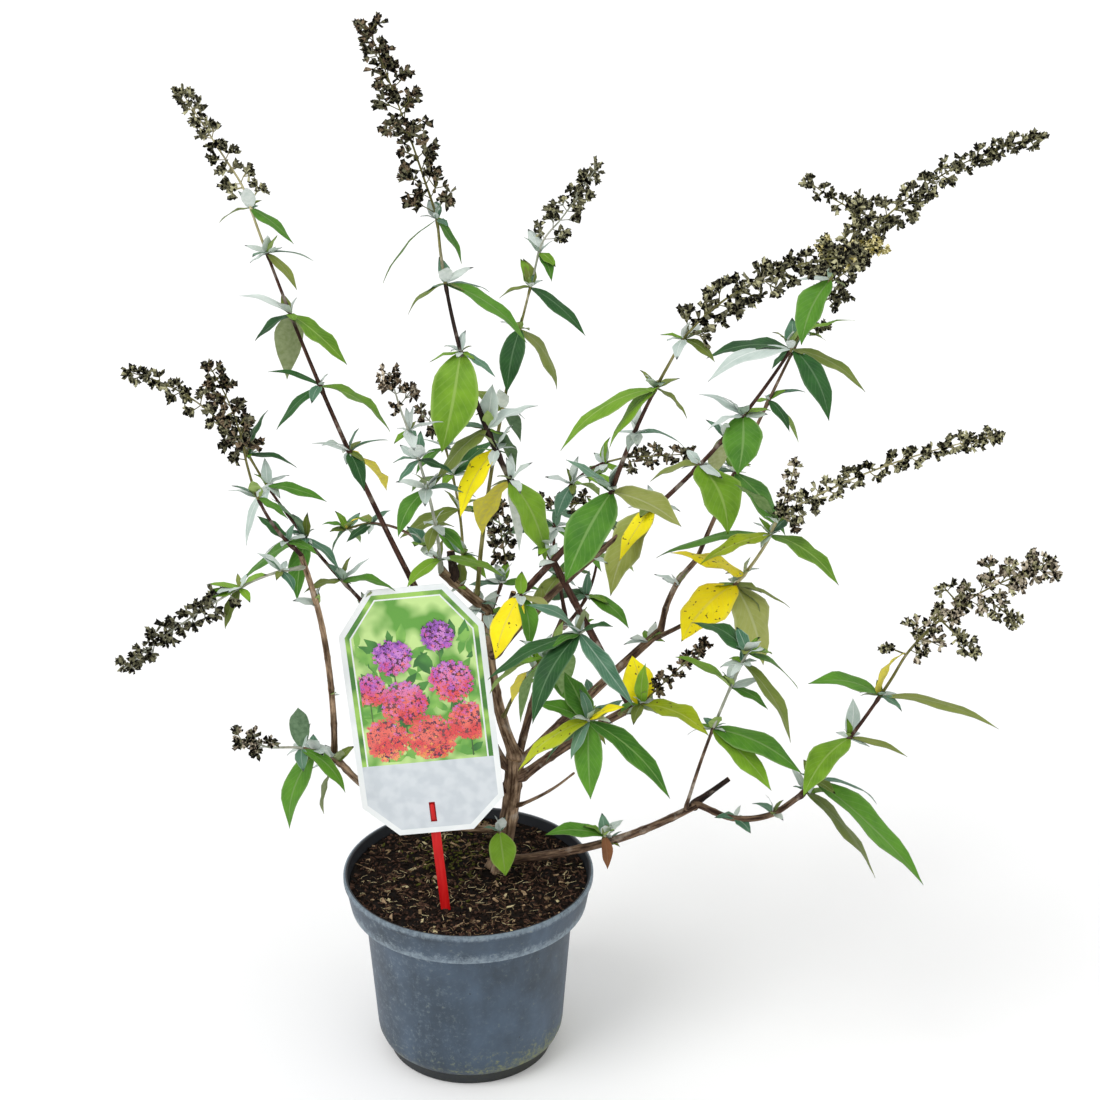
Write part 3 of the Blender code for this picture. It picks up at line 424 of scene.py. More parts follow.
@dataclass(frozen=True)
class TwoTone:
    """Two tones in patches, with a fine relief where the surface has one."""

    name: str
    first: str
    second: str
    patch_mm: float = 1.5
    roughness: float = 0.9
    ior: float = 1.5
    sheen: float = 0.5
    detail: float = 5.0
    raggedness: float = 0.5
    limits: tuple[float, float] = (0.38, 0.66)
    stretch: float = 1.0
    relief: tuple[float, float] | None = None

    def build(self) -> bpy.types.Material:
        """Make the material.

        Returns:
            The finish that its kind describes.
        """
        material, node = new_material(self.name, self.roughness, self.ior, self.sheen)
        place = node("TexCoord", None, "Object")
        if self.stretch != 1.0:
            place = node("Mapping", {"Vector": place, "Scale": (1.0, 1.0, self.stretch)})
        patches = node("TexNoise", {"Vector": place, "Scale": 500 / self.patch_mm,
                                                    "Detail": self.detail, "Roughness": self.raggedness})
        share = node("MapRange", {0: patches, 1: self.limits[0], 2: self.limits[1]})
        colour = node("Mix", {0: share, 6: linear(self.first), 7: linear(self.second)}, 2, **COLOURS)
        return coat(material, colour, patches, *self.relief) if self.relief else coat(material, colour)


@dataclass(frozen=True)
class Crumb(TwoTone):
    """Peat, bark chips, straw or moss: damp plant matter with no gloss and a broken tone."""

    sheen: float = 0.15
    raggedness: float = 0.7
    relief: tuple[float, float] | None = (0.8, 0.8)


@dataclass(frozen=True)
class Ink(TwoTone):
    """One ink of the label, offset print under a gloss film: smooth, with a soft change of tone."""

    patch_mm: float = 6.0
    roughness: float = 0.35
    detail: float = 1.5
    limits: tuple[float, float] = (0.40, 0.60)


@dataclass(frozen=True)
class StickPlastic(TwoTone):
    """The label stick, moulded polystyrene: glossy, with faint flow lines along it."""

    name: str = "moulded red polystyrene"
    first: str = "#c4070d"
    second: str = "#d01a18"
    patch_mm: float = 1.25
    roughness: float = 0.42
    ior: float = 1.59
    sheen: float = 0.25
    detail: float = 2.0
    limits: tuple[float, float] = (0.40, 0.65)
    stretch: float = 0.1
    relief: tuple[float, float] | None = (0.1, 0.2)


@dataclass
class Batch:
    """Corners and faces gathered from arrays for one joined piece."""

    materials: list[bpy.types.Material] = field(default_factory=list)
    corners: list[np.ndarray] = field(default_factory=list)
    grains: list[np.ndarray] = field(default_factory=list)
    faces: list[list[int]] = field(default_factory=list)
    looks: list[int] = field(default_factory=list)
    count: int = 0

    def add(self, corners: np.ndarray, faces: Sequence[Sequence[int]], look: int | Sequence[int],
            grain: np.ndarray | None = None) -> None:
        """Add one shape.

        Args:
            corners: Its corners, one row each.
            faces: Its faces, as corner numbers that start at zero.
            look: Its material's number, or one number for each face.
            grain: A pattern place for each corner, or none for its own corners.
        """
        start = self.count
        self.corners.append(corners)
        self.grains.append(corners if grain is None else grain)
        self.faces.extend([start + corner for corner in face] for face in faces)
        self.looks.extend([look] * len(faces) if isinstance(look, int) else look)
        self.count += len(corners)

    def piece(self, name: str, slot: str, smooth: bool = True) -> bpy.types.Object:
        """Make the joined piece, which rides on the part's one body.

        Args:
            name: The piece's name.
            slot: The record's material slot; not used.
            smooth: Whether its faces are shaded smooth.

        Returns:
            The new object, with its place in its mesh.
        """
        mesh = bpy.data.meshes.new(name)
        mesh.from_pydata(np.concatenate(self.corners).tolist(), [], self.faces)
        for material in self.materials:
            mesh.materials.append(material)
        mesh.polygons.foreach_set("material_index", np.array(self.looks, dtype=np.int32))
        mesh.polygons.foreach_set("use_smooth", np.full(len(mesh.polygons), smooth))
        layer = mesh.attributes.new(GRAIN, "FLOAT_VECTOR", "POINT")
        layer.data.foreach_set("vector", np.concatenate(self.grains).astype(np.float32).ravel())
        mesh.update()
        made = bpy.data.objects.new(name, mesh)
        bpy.context.scene.collection.objects.link(made)
        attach(made, BODY)
        triangles = sum(len(face) - 2 for face in self.faces)
        LOG.info("%s: %d triangles", name, triangles)
        return made


@dataclass(frozen=True)
class Growth:
    """One run of wood: the way it sets out, its length, and how far it bends by its end."""

    heading: float
    rise: float
    length: float
    turn: float = 0.0
    lift: float = 0.0

    def direction(self) -> Vector:
        """The way it sets out."""
        return direction(self.heading, self.rise)

    def points(self, start: Vector) -> list[Vector]:
        """The run's points.

        Args:
            start: Where it starts.

        Returns:
            The points from its start to its end.
        """
        steps = max(3, round(self.length / STEP_LENGTH))
        points = [start.copy()]
        for index in range(steps):
            part = (index + 0.5) / steps
            way = direction(self.heading + self.turn * part, self.rise + self.lift * part)
            points.append(points[-1] + way * (self.length / steps))
        return points


@dataclass(frozen=True)
class Bough:
    """A tapering limb that springs from its parent a fraction of the way along it."""

    name: str
    parent: str
    at: float
    growth: Growth
    radius: float
    tip_radius: float
    rind: Rind


@dataclass(frozen=True)
class Spray:
    """A leafy shoot, with a dried flower head on its end where it has one.

    Each joint is (fraction along the stem, leaf, leaf, ...) and each leaf is (heading, rise, length in mm,
    width over length, tint). Each side head is (fraction, growth, reach, seeds), where a fraction above 1
    counts on along the spike.
    """

    name: str
    parent: str
    at: float
    stem: Growth
    radius: float
    neck_radius: float
    rinds: tuple[Rind, Rind]
    joints: tuple
    spike: Growth | None = None
    spike_reach: float = 0.0
    seeds: tuple[Seed, Seed] = (Seed.BLACK, Seed.BROWN)
    side_heads: tuple = ()
    young_from: float = 0.0


def direction(heading: float, rise: float) -> Vector:
    """The unit vector for a heading and a rise.

    Args:
        heading: Degrees from +X towards the back.
        rise: Degrees above level.

    Returns:
        The unit vector.
    """
    turn, climb = math.radians(heading), math.radians(rise)
    return Vector((math.cos(climb) * math.cos(turn), math.cos(climb) * math.sin(turn), math.sin(climb)))


DEEP, GREEN, LIME, CITRON, YELLOW, OLIVE, BEIGE, FELT, SILVER, DRY = Tint
BLACK, BROWN, MOSS, GOLD, ASH, MOUTH = Seed

BOUGHS = (
    Bough("right_bough", "trunk", 0.86, Growth(-26, 44, 0.120, -5, -5), 0.0042, 0.0034, Rind.BROWN),
    Bough("upper_right_bough", "right_bough", 1.0, Growth(157, 60, 0.178), 0.0031, 0.0027, Rind.RED),
    Bough("rear_bough", "trunk", 0.97, Growth(17, 43, 0.142, -10), 0.0043, 0.0034, Rind.BROWN),
    Bough("upper_rear_bough", "rear_bough", 1.0, Growth(61, 71, 0.060, -45, -30), 0.0026, 0.0023, Rind.BROWN),
    Bough("centre_bough", "trunk", 1.0, Growth(179, 69, 0.120, -60, 20), 0.0048, 0.0046, Rind.OLD),
    Bough("crown_bough", "centre_bough", 1.0, Growth(178, 43, 0.045), 0.0044, 0.0038, Rind.OLD),
    Bough("front_bough", "centre_bough", 0.93, Growth(-45, 47, 0.165, 12, 5), 0.0030, 0.0024, Rind.RED),
    Bough("middle_bough", "centre_bough", 0.72, Growth(-14, 54, 0.155, 15, -15), 0.0036, 0.0025, Rind.BROWN),
    Bough("left_bough", "trunk", 0.93, Growth(-177, 64, 0.168, 0, 5), 0.0036, 0.0028, Rind.BROWN),
    Bough("side_bough", "trunk", 0.72, Growth(-167, 56, 0.202, 10, 5), 0.0026, 0.0019, Rind.RED),
    Bough("low_left_bough", "trunk", 0.35, Growth(-163, 9, 0.154, 0, 50), 0.0034, 0.0029, Rind.OLD),
    Bough("outer_left_bough", "low_left_bough", 1.0, Growth(-74, 83, 0.180, -70, -10), 0.0027, 0.0022,
          Rind.OLD),
    Bough("low_right_bough", "trunk", 0.12, Growth(-21, 16, 0.162, 10, 20), 0.0040, 0.0030, Rind.BROWN),
    Bough("outer_right_bough", "low_right_bough", 1.0, Growth(-28, -22, 0.085, 20, 75), 0.0027, 0.0024,
          Rind.BROWN),
    Bough("back_bough", "trunk", 0.80, Growth(73, 53, 0.128, -25), 0.0036, 0.0030, Rind.BROWN),
    Bough("dead_twig", "trunk", 0.6, Growth(-33, 32, 0.060, 20, 15), 0.0017, 0.0009, Rind.OLD),
    Bough("right_stub", "low_right_bough", 0.98, Growth(10, 36, 0.032), 0.0026, 0.0021, Rind.DARK),
    Bough("centre_stub", "centre_bough", 0.88, Growth(-5, 52, 0.034, 0, 25), 0.0027, 0.0023, Rind.DARK),
    Bough("crown_stub", "crown_bough", 0.8, Growth(120, 72, 0.018), 0.0034, 0.0032, Rind.DARK),
)

SPRAYS = (
    Spray("high_left_spray", "left_bough", 1.0, Growth(159, 62, 0.305, -15, 5), 0.0026, 0.0011,
          (Rind.RED, Rind.CREAM), (
        (0.34, (40, -50, 50, BROAD, YELLOW), (-65, -35, 35, OVATE, DEEP), (-130, 25, 30, LANCE, SILVER),
         (20, 10, 30, SLIM, FELT), (160, 5, 30, SLIM, SILVER)),
        (0.51, (-145, -35, 45, LANCE, DEEP), (165, 10, 40, SLIM, DEEP), (-15, -30, 60, OVATE, LIME)),
        (0.69, (-135, -20, 35, OVATE, DEEP), (-25, -35, 55, OVATE, LIME), (110, -70, 60, OVATE, OLIVE),
         (165, 15, 40, SLIM, SILVER)),
        (0.84, (-35, -40, 35, LANCE, OLIVE), (20, -15, 35, SLIM, FELT)),
        (0.95, (180, -25, 25, OVATE, OLIVE), (-20, -35, 40, OVATE, GREEN)),
    ), Growth(145, 50, 0.083, 5), 0.017, (BLACK, MOSS), (
        (0.96, Growth(-10, 55, 0.018), 0.011, (BLACK, MOSS)),
        (1.00, Growth(180, -15, 0.008), 0.011, (BLACK, MOSS)))),
    Spray("tall_spray", "upper_right_bough", 1.0, Growth(169, 62, 0.205, -40, 20), 0.0027, 0.0012,
          (Rind.DARK, Rind.OLIVE), (
        (0.05, (-35, -62, 65, BROAD, LIME), (70, -75, 65, SLIM, SILVER), (135, -60, 60, BROAD, YELLOW)),
        (0.17, (-135, -50, 55, OVATE, YELLOW)),
        (0.25, (-150, -40, 55, OVATE, OLIVE), (45, -55, 50, OVATE, DEEP), (10, 22, 40, BROAD, SILVER),
         (75, 60, 32, BROAD, SILVER), (175, 5, 35, LANCE, FELT)),
        (0.53, (-118, -66, 72, BROAD, LIME), (-10, -35, 30, LANCE, FELT)),
        (0.77, (180, -40, 35, OVATE, OLIVE), (-10, -35, 70, LANCE, GREEN), (45, -20, 45, SLIM, FELT)),
        (0.99, (180, -50, 60, SLIM, GREEN), (-30, -55, 35, OVATE, GREEN)),
    ), Growth(175, 74, 0.134, 0, -5), 0.031, (BLACK, BROWN)),
    Spray("upright_spray", "crown_bough", 0.3, Growth(82, 59, 0.266, -30, 5), 0.0021, 0.0010,
          (Rind.OLIVE, Rind.SILVER), (
        (0.40, (60, -30, 35, OVATE, DEEP), (240, -20, 30, OVATE, OLIVE)),
        (0.52, (135, 15, 30, OVATE, OLIVE), (55, -55, 40, OVATE, DEEP)),
        (0.75, (0, -60, 55, OVATE, OLIVE), (-110, -55, 50, OVATE, DEEP)),
        (0.87, (180, -20, 25, OVATE, OLIVE), (-25, -35, 55, LANCE, DEEP)),
        (0.97, (-60, -45, 25, OVATE, GREEN)),
    ), Growth(48, 31, 0.075, -5, 15), 0.019, (BLACK, MOSS)),
    Spray("front_right_spray", "front_bough", 1.0, Growth(-58, 66, 0.160, 10, -10), 0.0022, 0.0011,
          (Rind.RED, Rind.OLIVE), (
        (0.05, (-135, -50, 70, BROAD, GREEN), (-130, 40, 30, OVATE, FELT), (-20, -20, 54, BROAD, BEIGE),
         (150, 25, 40, LANCE, FELT)),
        (0.41, (30, -25, 45, SLIM, FELT), (-105, -15, 22, OVATE, SILVER)),
        (0.68, (-165, -30, 75, LANCE, LIME), (-150, -45, 50, OVATE, LIME), (0, -45, 30, OVATE, OLIVE)),
        (0.98, (-25, -30, 25, OVATE, OLIVE)),
    ), Growth(-30, 53, 0.140, 5, -45), 0.022, (BLACK, MOSS)),
    Spray("far_right_spray", "upper_rear_bough", 1.0, Growth(32, 63, 0.210, 0, -5), 0.0022, 0.0012,
          (Rind.BROWN, Rind.OLIVE), (
        (0.34, (-35, -42, 60, BROAD, GREEN), (140, -20, 35, OVATE, DEEP)),
        (0.62, (20, -55, 45, SLIM, LIME), (-55, -35, 30, OVATE, DEEP), (20, 5, 30, SLIM, FELT)),
        (0.82, (-140, -25, 25, OVATE, DEEP), (-50, -50, 60, OVATE, DEEP)),
        (0.88, (0, 15, 40, OVATE, LIME)),
    ), Growth(20, 59, 0.210, -10, -50), 0.018, (BLACK, MOSS), (
        (0.93, Growth(30, -30, 0.018), 0.012, (BLACK, BLACK)),
        (0.99, Growth(40, 10, 0.030), 0.016, (BLACK, BLACK)),
        (1.08, Growth(30, 25, 0.030), 0.017, (BLACK, BLACK)),
        (1.18, Growth(35, 20, 0.028), 0.017, (BLACK, BLACK)),
        (1.30, Growth(30, 15, 0.024), 0.016, (BLACK, MOSS)),
        (1.36, Growth(165, 15, 0.062, 0, 20), 0.012, (BLACK, MOSS)),
        (1.42, Growth(20, -15, 0.018), 0.010, (MOSS, BLACK)))),
    Spray("inner_right_spray", "middle_bough", 1.0, Growth(2, 42, 0.225, 0, 25), 0.0022, 0.0012,
          (Rind.RED, Rind.OLIVE), (
        (0.05, (-125, -30, 50, OVATE, YELLOW), (-150, -60, 70, BROAD, BEIGE)),
        (0.26, (-62, -45, 56, ROUND, LIME), (165, -25, 40, OVATE, OLIVE)),
        (0.38, (105, -60, 50, OVATE, BEIGE)),
        (0.47, (-150, -10, 30, OVATE, SILVER), (-100, -50, 45, ROUND, GREEN), (160, 20, 35, OVATE, SILVER),
         (60, -70, 30, OVATE, DEEP)),
        (0.73, (-160, -15, 65, LANCE, SILVER), (-20, -25, 60, LANCE, OLIVE), (170, -10, 60, OVATE, DEEP),
         (-45, 55, 25, OVATE, LIME)),
        (0.98, (115, -50, 35, OVATE, BEIGE), (-135, -55, 50, BROAD, GREEN)),
    ), Growth(15, 58, 0.055, 5, 20), 0.021, (MOSS, BLACK), (
        (1.10, Growth(-60, 35, 0.026), 0.014, (GOLD, GOLD)),
        (1.15, Growth(-125, 40, 0.030), 0.013, (GOLD, MOSS)),
        (1.20, Growth(-90, 30, 0.026), 0.013, (GOLD, GOLD)),
        (1.30, Growth(-42, 22, 0.030), 0.013, (GOLD, GOLD)))),
    Spray("right_spray", "rear_bough", 0.97, Growth(-32, 33, 0.162, -10, 35), 0.0022, 0.0012,
          (Rind.BROWN, Rind.CREAM), (
        (0.55, (130, -55, 50, OVATE, DEEP), (-140, -30, 60, ROUND, YELLOW), (-52, -58, 62, ROUND, BEIGE),
         (35, -65, 60, BROAD, OLIVE), (0, -25, 45, SLIM, OLIVE)),
        (0.63, (-172, 20, 58, BROAD, YELLOW)),
        (0.89, (-165, -18, 55, OVATE, CITRON), (-38, -22, 62, OVATE, LIME), (160, -20, 90, SLIM, GREEN)),
        (0.96, (-155, 45, 50, OVATE, GREEN)),
    ), Growth(-30, 40, 0.175, 5, -20), 0.013, (MOSS, BLACK), (
        (0.94, Growth(10, 70, 0.052, 0, 10), 0.007, (MOSS, ASH)),
        (1.00, Growth(-20, -20, 0.014), 0.010, (BROWN, ASH))), 0.58),
    Spray("low_right_spray", "outer_right_bough", 1.0, Growth(-21, 56, 0.150, -10, 10), 0.0022, 0.0013,
          (Rind.RED, Rind.OLIVE), (
        (0.04, (-15, -50, 85, LANCE, OLIVE)),
        (0.12, (-20, -40, 110, LANCE, GREEN), (20, -30, 60, SLIM, FELT)),
        (0.43, (-140, -35, 55, BROAD, LIME), (80, 45, 30, OVATE, SILVER), (0, -20, 45, SLIM, OLIVE)),
        (0.72, (-45, 65, 45, OVATE, YELLOW), (-170, 15, 55, OVATE, GREEN), (-15, -10, 85, SLIM, OLIVE)),
    ), Growth(-16, 59, 0.125, 5, -40), 0.025, (ASH, MOSS), (
        (0.99, Growth(-175, 25, 0.018), 0.012, (MOSS, BLACK)),
        (1.28, Growth(-30, -35, 0.032), 0.015, (MOSS, BLACK)),
        (1.42, Growth(160, 45, 0.020), 0.015, (BLACK, MOSS)),
        (1.55, Growth(-25, -30, 0.030), 0.014, (MOSS, BLACK)),
        (1.66, Growth(140, 55, 0.018), 0.014, (ASH, BLACK)),
        (1.80, Growth(20, 50, 0.016), 0.014, (ASH, MOSS)))),
    Spray("pale_right_spray", "low_right_bough", 0.95, Growth(-74, 64, 0.197, 10, -5), 0.0017, 0.0010,
          (Rind.BROWN, Rind.SILVER), (
        (0.51, (-35, -35, 60, OVATE, LIME), (-20, -20, 70, OVATE, GREEN)),
        (0.77, (-165, 35, 50, OVATE, LIME), (-20, -25, 30, OVATE, GREEN)),
        (0.92, (-25, -55, 65, LANCE, OLIVE)),
        (0.98, (15, -40, 50, LANCE, GREEN), (150, 16, 45, BROAD, DEEP), (-60, 45, 22, BROAD, SILVER)),
    ), young_from=0.51),
    Spray("left_spray", "side_bough", 1.0, Growth(176, 48, 0.140, 0, 15), 0.0017, 0.0011,
          (Rind.RED, Rind.OLIVE), (
        (0.14, (-150, -5, 30, OVATE, OLIVE), (-15, -5, 40, OVATE, GREEN), (30, 30, 25, LANCE, SILVER)),
        (0.43, (-105, -60, 45, OVATE, GREEN), (-145, 55, 45, OVATE, DEEP), (-35, -30, 35, OVATE, FELT),
         (160, -30, 40, SLIM, SILVER), (-160, -30, 55, OVATE, GREEN)),
        (0.77, (-130, -60, 45, SLIM, SILVER), (-15, -10, 45, LANCE, GREEN)),
        (0.95, (0, -15, 35, LANCE, DEEP), (35, 60, 35, OVATE, DEEP)),
    ), Growth(180, 58, 0.100, 0, -45), 0.015, (BLACK, MOSS)),
    Spray("near_left_spray", "outer_left_bough", 1.0, Growth(-145, 48, 0.095, 35, 25), 0.0018, 0.0011,
          (Rind.RED, Rind.OLIVE), (
        (0.17, (145, 25, 30, OVATE, DEEP), (-30, -10, 25, OVATE, GREEN)),
        (0.67, (170, 10, 22, OVATE, SILVER), (-20, -30, 25, OVATE, GREEN)),
    ), Growth(-98, 73, 0.085, -50, -10), 0.019, (BLACK, BROWN)),
    Spray("drooping_left_spray", "outer_left_bough", 0.95, Growth(-134, 13, 0.063, 5, -20), 0.0015, 0.0010,
          (Rind.SILVER, Rind.SILVER), (
        (0.30, (150, 25, 22, OVATE, SILVER), (-60, -20, 22, OVATE, FELT)),
        (0.90, (-160, -15, 30, BROAD, LIME), (-135, -60, 30, OVATE, OLIVE)),
    ), Growth(-144, -15, 0.092, 5, -10), 0.017, (BLACK, BLACK)),
    Spray("low_left_spray", "low_left_bough", 0.95, Growth(-125, 47, 0.083, -10, -30), 0.0016, 0.0010,
          (Rind.OLD, Rind.SILVER), (
        (0.08, (180, -75, 45, OVATE, OLIVE)),
        (0.43, (-140, -65, 60, OVATE, GREEN), (-110, 55, 20, BROAD, SILVER)),
        (0.62, (-30, -35, 45, OVATE, GREEN), (-90, 75, 40, OVATE, DEEP)),
    ), Growth(-135, 33, 0.035), 0.014, (BLACK, ASH)),
    Spray("leafy_left_spray", "crown_bough", 0.93, Growth(130, 37, 0.113, 20, -70), 0.0014, 0.0010,
          (Rind.BROWN, Rind.OLIVE), (
        (0.24, (-70, -5, 20, BROAD, SILVER), (110, 10, 25, OVATE, FELT)),
        (0.73, (45, 15, 20, OVATE, FELT), (220, -20, 25, OVATE, DEEP)),
        (0.96, (60, -45, 25, OVATE, GREEN), (-160, 20, 20, OVATE, GREEN), (-35, 40, 20, OVATE, YELLOW),
         (170, -60, 25, OVATE, DEEP)),
    )),
    Spray("inner_left_spray", "crown_bough", 1.0, Growth(-92, 67, 0.160, -40, 0), 0.0017, 0.0010,
          (Rind.SILVER, Rind.SILVER), (
        (0.08, (-135, -20, 35, OVATE, LIME), (-15, -10, 50, OVATE, LIME)),
        (0.30, (-115, -55, 20, BROAD, OLIVE), (-35, -30, 30, OVATE, GREEN)),
        (0.53, (0, -10, 35, LANCE, FELT), (-135, -45, 40, OVATE, GREEN)),
        (0.71, (-140, -35, 22, OVATE, FELT), (-30, -10, 30, OVATE, DEEP)),
        (0.88, (0, 15, 25, LANCE, SILVER)),
    ), Growth(-129, 71, 0.030), 0.019, (BROWN, ASH)),
    Spray("rear_left_spray", "crown_bough", 0.6, Growth(87, 24, 0.142, 25, 15), 0.0015, 0.0010,
          (Rind.OLIVE, Rind.SILVER), (
        (0.20, (125, 15, 40, OVATE, GREEN), (-50, -20, 30, OVATE, LIME)),
        (0.50, (200, -20, 50, OVATE, OLIVE), (30, -30, 45, OVATE, GREEN)),
        (0.72, (40, 25, 45, OVATE, DEEP), (140, -30, 50, OVATE, GREEN)),
        (0.90, (50, -35, 45, OVATE, FELT), (230, -20, 35, OVATE, GREEN)),
    ), Growth(147, 35, 0.025), 0.014, (BLACK, BROWN)),
    Spray("lower_front_spray", "right_bough", 0.65, Growth(-91, 32, 0.118), 0.0016, 0.0010,
          (Rind.OLIVE, Rind.SILVER), (
        (0.50, (-170, -40, 40, OVATE, DEEP), (20, -40, 40, OVATE, GREEN)),
        (0.20, (-60, -75, 25, OVATE, DRY)),
        (0.97, (-170, -35, 60, OVATE, CITRON), (-125, -45, 30, OVATE, FELT), (-85, -70, 55, OVATE, GREEN),
         (-20, -40, 78, LANCE, GREEN), (-20, 30, 30, OVATE, YELLOW), (45, 5, 35, OVATE, FELT),
         (120, 35, 40, BROAD, GREEN), (160, 10, 40, OVATE, GREEN)),
    )),
    Spray("front_spray", "centre_bough", 0.3, Growth(-73, 51, 0.190, 15, -15), 0.0017, 0.0010,
          (Rind.OLIVE, Rind.SILVER), (
        (0.50, (130, -55, 45, OVATE, YELLOW), (-20, -40, 40, OVATE, GREEN)),
        (0.63, (160, -40, 55, OVATE, LIME)),
        (0.78, (85, -65, 55, OVATE, GREEN), (150, -65, 75, LANCE, GREEN)),
        (0.96, (-170, -25, 70, LANCE, DEEP), (-130, -45, 70, LANCE, DEEP), (-165, 35, 45, OVATE, FELT),
         (-40, -40, 62, LANCE, FELT), (-35, 25, 30, OVATE, DEEP), (-150, -15, 25, OVATE, GREEN)),
    )),
    Spray("short_right_spray", "right_bough", 0.93, Growth(-72, 34, 0.058), 0.0014, 0.0010,
          (Rind.OLIVE, Rind.OLIVE), (
        (0.85, (-125, 10, 25, OVATE, GREEN), (100, 42, 38, ROUND, YELLOW)),
        (0.95, (-30, -12, 54, BROAD, CITRON), (65, 80, 30, OVATE, LIME)),
    ), side_heads=((0.90, Growth(15, 42, 0.062), 0.009, (BROWN, BLACK)),)),
    Spray("rear_spray", "back_bough", 1.0, Growth(151, 84, 0.155, -155, -75), 0.0019, 0.0010,
          (Rind.RED, Rind.OLIVE), (
        (0.20, (60, -20, 55, OVATE, GREEN), (-120, -30, 45, OVATE, OLIVE)),
        (0.45, (150, -25, 60, OVATE, DEEP), (-30, -35, 50, OVATE, GREEN)),
        (0.70, (60, -30, 50, OVATE, LIME), (-110, -20, 40, OVATE, FELT)),
        (0.90, (110, -40, 45, OVATE, GREEN)),
    ), Growth(17, -3, 0.055), 0.014, (BLACK, BROWN)),
    Spray("rear_right_spray", "back_bough", 0.93, Growth(36, 31, 0.107, 75, 25), 0.0017, 0.0010,
          (Rind.RED, Rind.OLIVE), (
        (0.30, (-40, -20, 45, OVATE, GREEN), (140, -20, 50, OVATE, DEEP)),
        (0.60, (50, -30, 55, OVATE, LIME), (200, -20, 45, OVATE, GREEN)),
        (0.88, (60, -35, 50, OVATE, DEEP), (170, 10, 40, OVATE, FELT)),
    ), Growth(169, 0, 0.060), 0.014, (BLACK, BROWN)),
    Spray("short_inner_spray", "centre_bough", 0.96, Growth(69, 28, 0.052, 15, -15), 0.0017, 0.0012,
          (Rind.BROWN, Rind.OLIVE), (
        (0.60, (20, -20, 35, OVATE, GREEN), (150, -15, 30, OVATE, FELT)),
    ), Growth(108, 60, 0.045), 0.016, (BLACK, BROWN)),
    Spray("centre_tuft", "front_bough", 0.30, Growth(-95, 15, 0.012), 0.0014, 0.0011,
          (Rind.RED, Rind.RED), (
        (0.85, (-130, -55, 50, BROAD, YELLOW), (-75, -60, 40, OVATE, GREEN), (-20, -25, 30, OVATE, BEIGE)),
    )),
    Spray("foot_tuft", "trunk", 0.38, Growth(-110, 20, 0.010), 0.0014, 0.0011,
          (Rind.OLD, Rind.OLIVE), (
        (0.85, (-75, -58, 34, ROUND, LIME), (-150, 30, 16, OVATE, FELT)),
    )),
    Spray("low_right_tuft", "low_right_bough", 0.50, Growth(-80, 55, 0.010), 0.0014, 0.0011,
          (Rind.OLIVE, Rind.SILVER), (
        (0.85, (178, 0, 45, OVATE, GREEN), (40, 20, 20, OVATE, SILVER), (-90, 60, 16, BROAD, SILVER),
         (-70, -75, 26, OVATE, DRY)),
    )),
)


@dataclass
class Run:
    """A run of wood that has been placed: its corner points and its radii."""

    points: list[Vector]
    radii: list[float]

    def place(self, fraction: float) -> tuple[Vector, Vector]:
        """The point and the unit direction a fraction of the way along."""
        spot = fraction * (len(self.points) - 1)
        index = min(int(spot), len(self.points) - 2)
        way = self.points[index + 1] - self.points[index]
        return self.points[index] + way * (spot - index), way.normalized()

    def radius(self, fraction: float) -> float:
        """The radius a fraction of the way along."""
        spot = fraction * (len(self.radii) - 1)
        index = min(int(spot), len(self.radii) - 2)
        return self.radii[index] + (self.radii[index + 1] - self.radii[index]) * (spot - index)

    def spring(self, fraction: float, way: Vector) -> Vector:
        """Where a new run starts, on this run's side or just past its tip."""
        spot, along = self.place(fraction)
        if fraction >= 1.0:
            return spot + along * GAP
        outward = (way - along * way.dot(along)).normalized()
        return spot + outward * (self.radius(fraction) + GAP)


def unit(vectors: np.ndarray) -> np.ndarray:
    """Vectors scaled to a length of one."""
    return vectors / np.maximum(np.linalg.norm(vectors, axis=-1, keepdims=True), 1e-12)


def distances(line: np.ndarray) -> np.ndarray:
    """How far along a line each of its points lies, in metres."""
    return np.concatenate(([0.0], np.cumsum(np.linalg.norm(np.diff(line, axis=0), axis=1))))


def smooth_line(points: Sequence[Vector], spacing: float) -> tuple[np.ndarray, np.ndarray]:
    """A smooth line through points.

    Args:
        points: The points to pass through.
        spacing: About how far apart the new points lie.

    Returns:
        The new points and how far along the line each one is, from 0 to 1.
    """
    given = np.array(points, float)
    padded = np.vstack((2 * given[0] - given[1], given, 2 * given[-1] - given[-2]))
    line = [given[0]]
    for before, start, end, after in zip(padded, padded[1:], padded[2:], padded[3:]):
        count = max(1, round(float(np.linalg.norm(end - start)) / spacing))
        for part in np.arange(1, count + 1) / count:
            line.append(0.5 * (2 * start + (end - before) * part
                               + (2 * before - 5 * start + 4 * end - after) * part ** 2
                               + (3 * start - before - 3 * end + after) * part ** 3))
    made = np.array(line)
    along = distances(made)
    return made, along / along[-1]


def cross_directions(line: np.ndarray) -> tuple[np.ndarray, np.ndarray]:
    """Two directions across a line, carried along it without twist.

    Args:
        line: The line's points.

    Returns:
        The two unit directions, one row for each point.
    """
    ways = unit(np.gradient(line, axis=0))
    first = np.empty_like(ways)
    side = np.array(FIRST_SIDE)
    for index, way in enumerate(ways):
        side = side - way * side.dot(way)
        side = side / np.linalg.norm(side)
        first[index] = side
    return first, np.cross(ways, first)


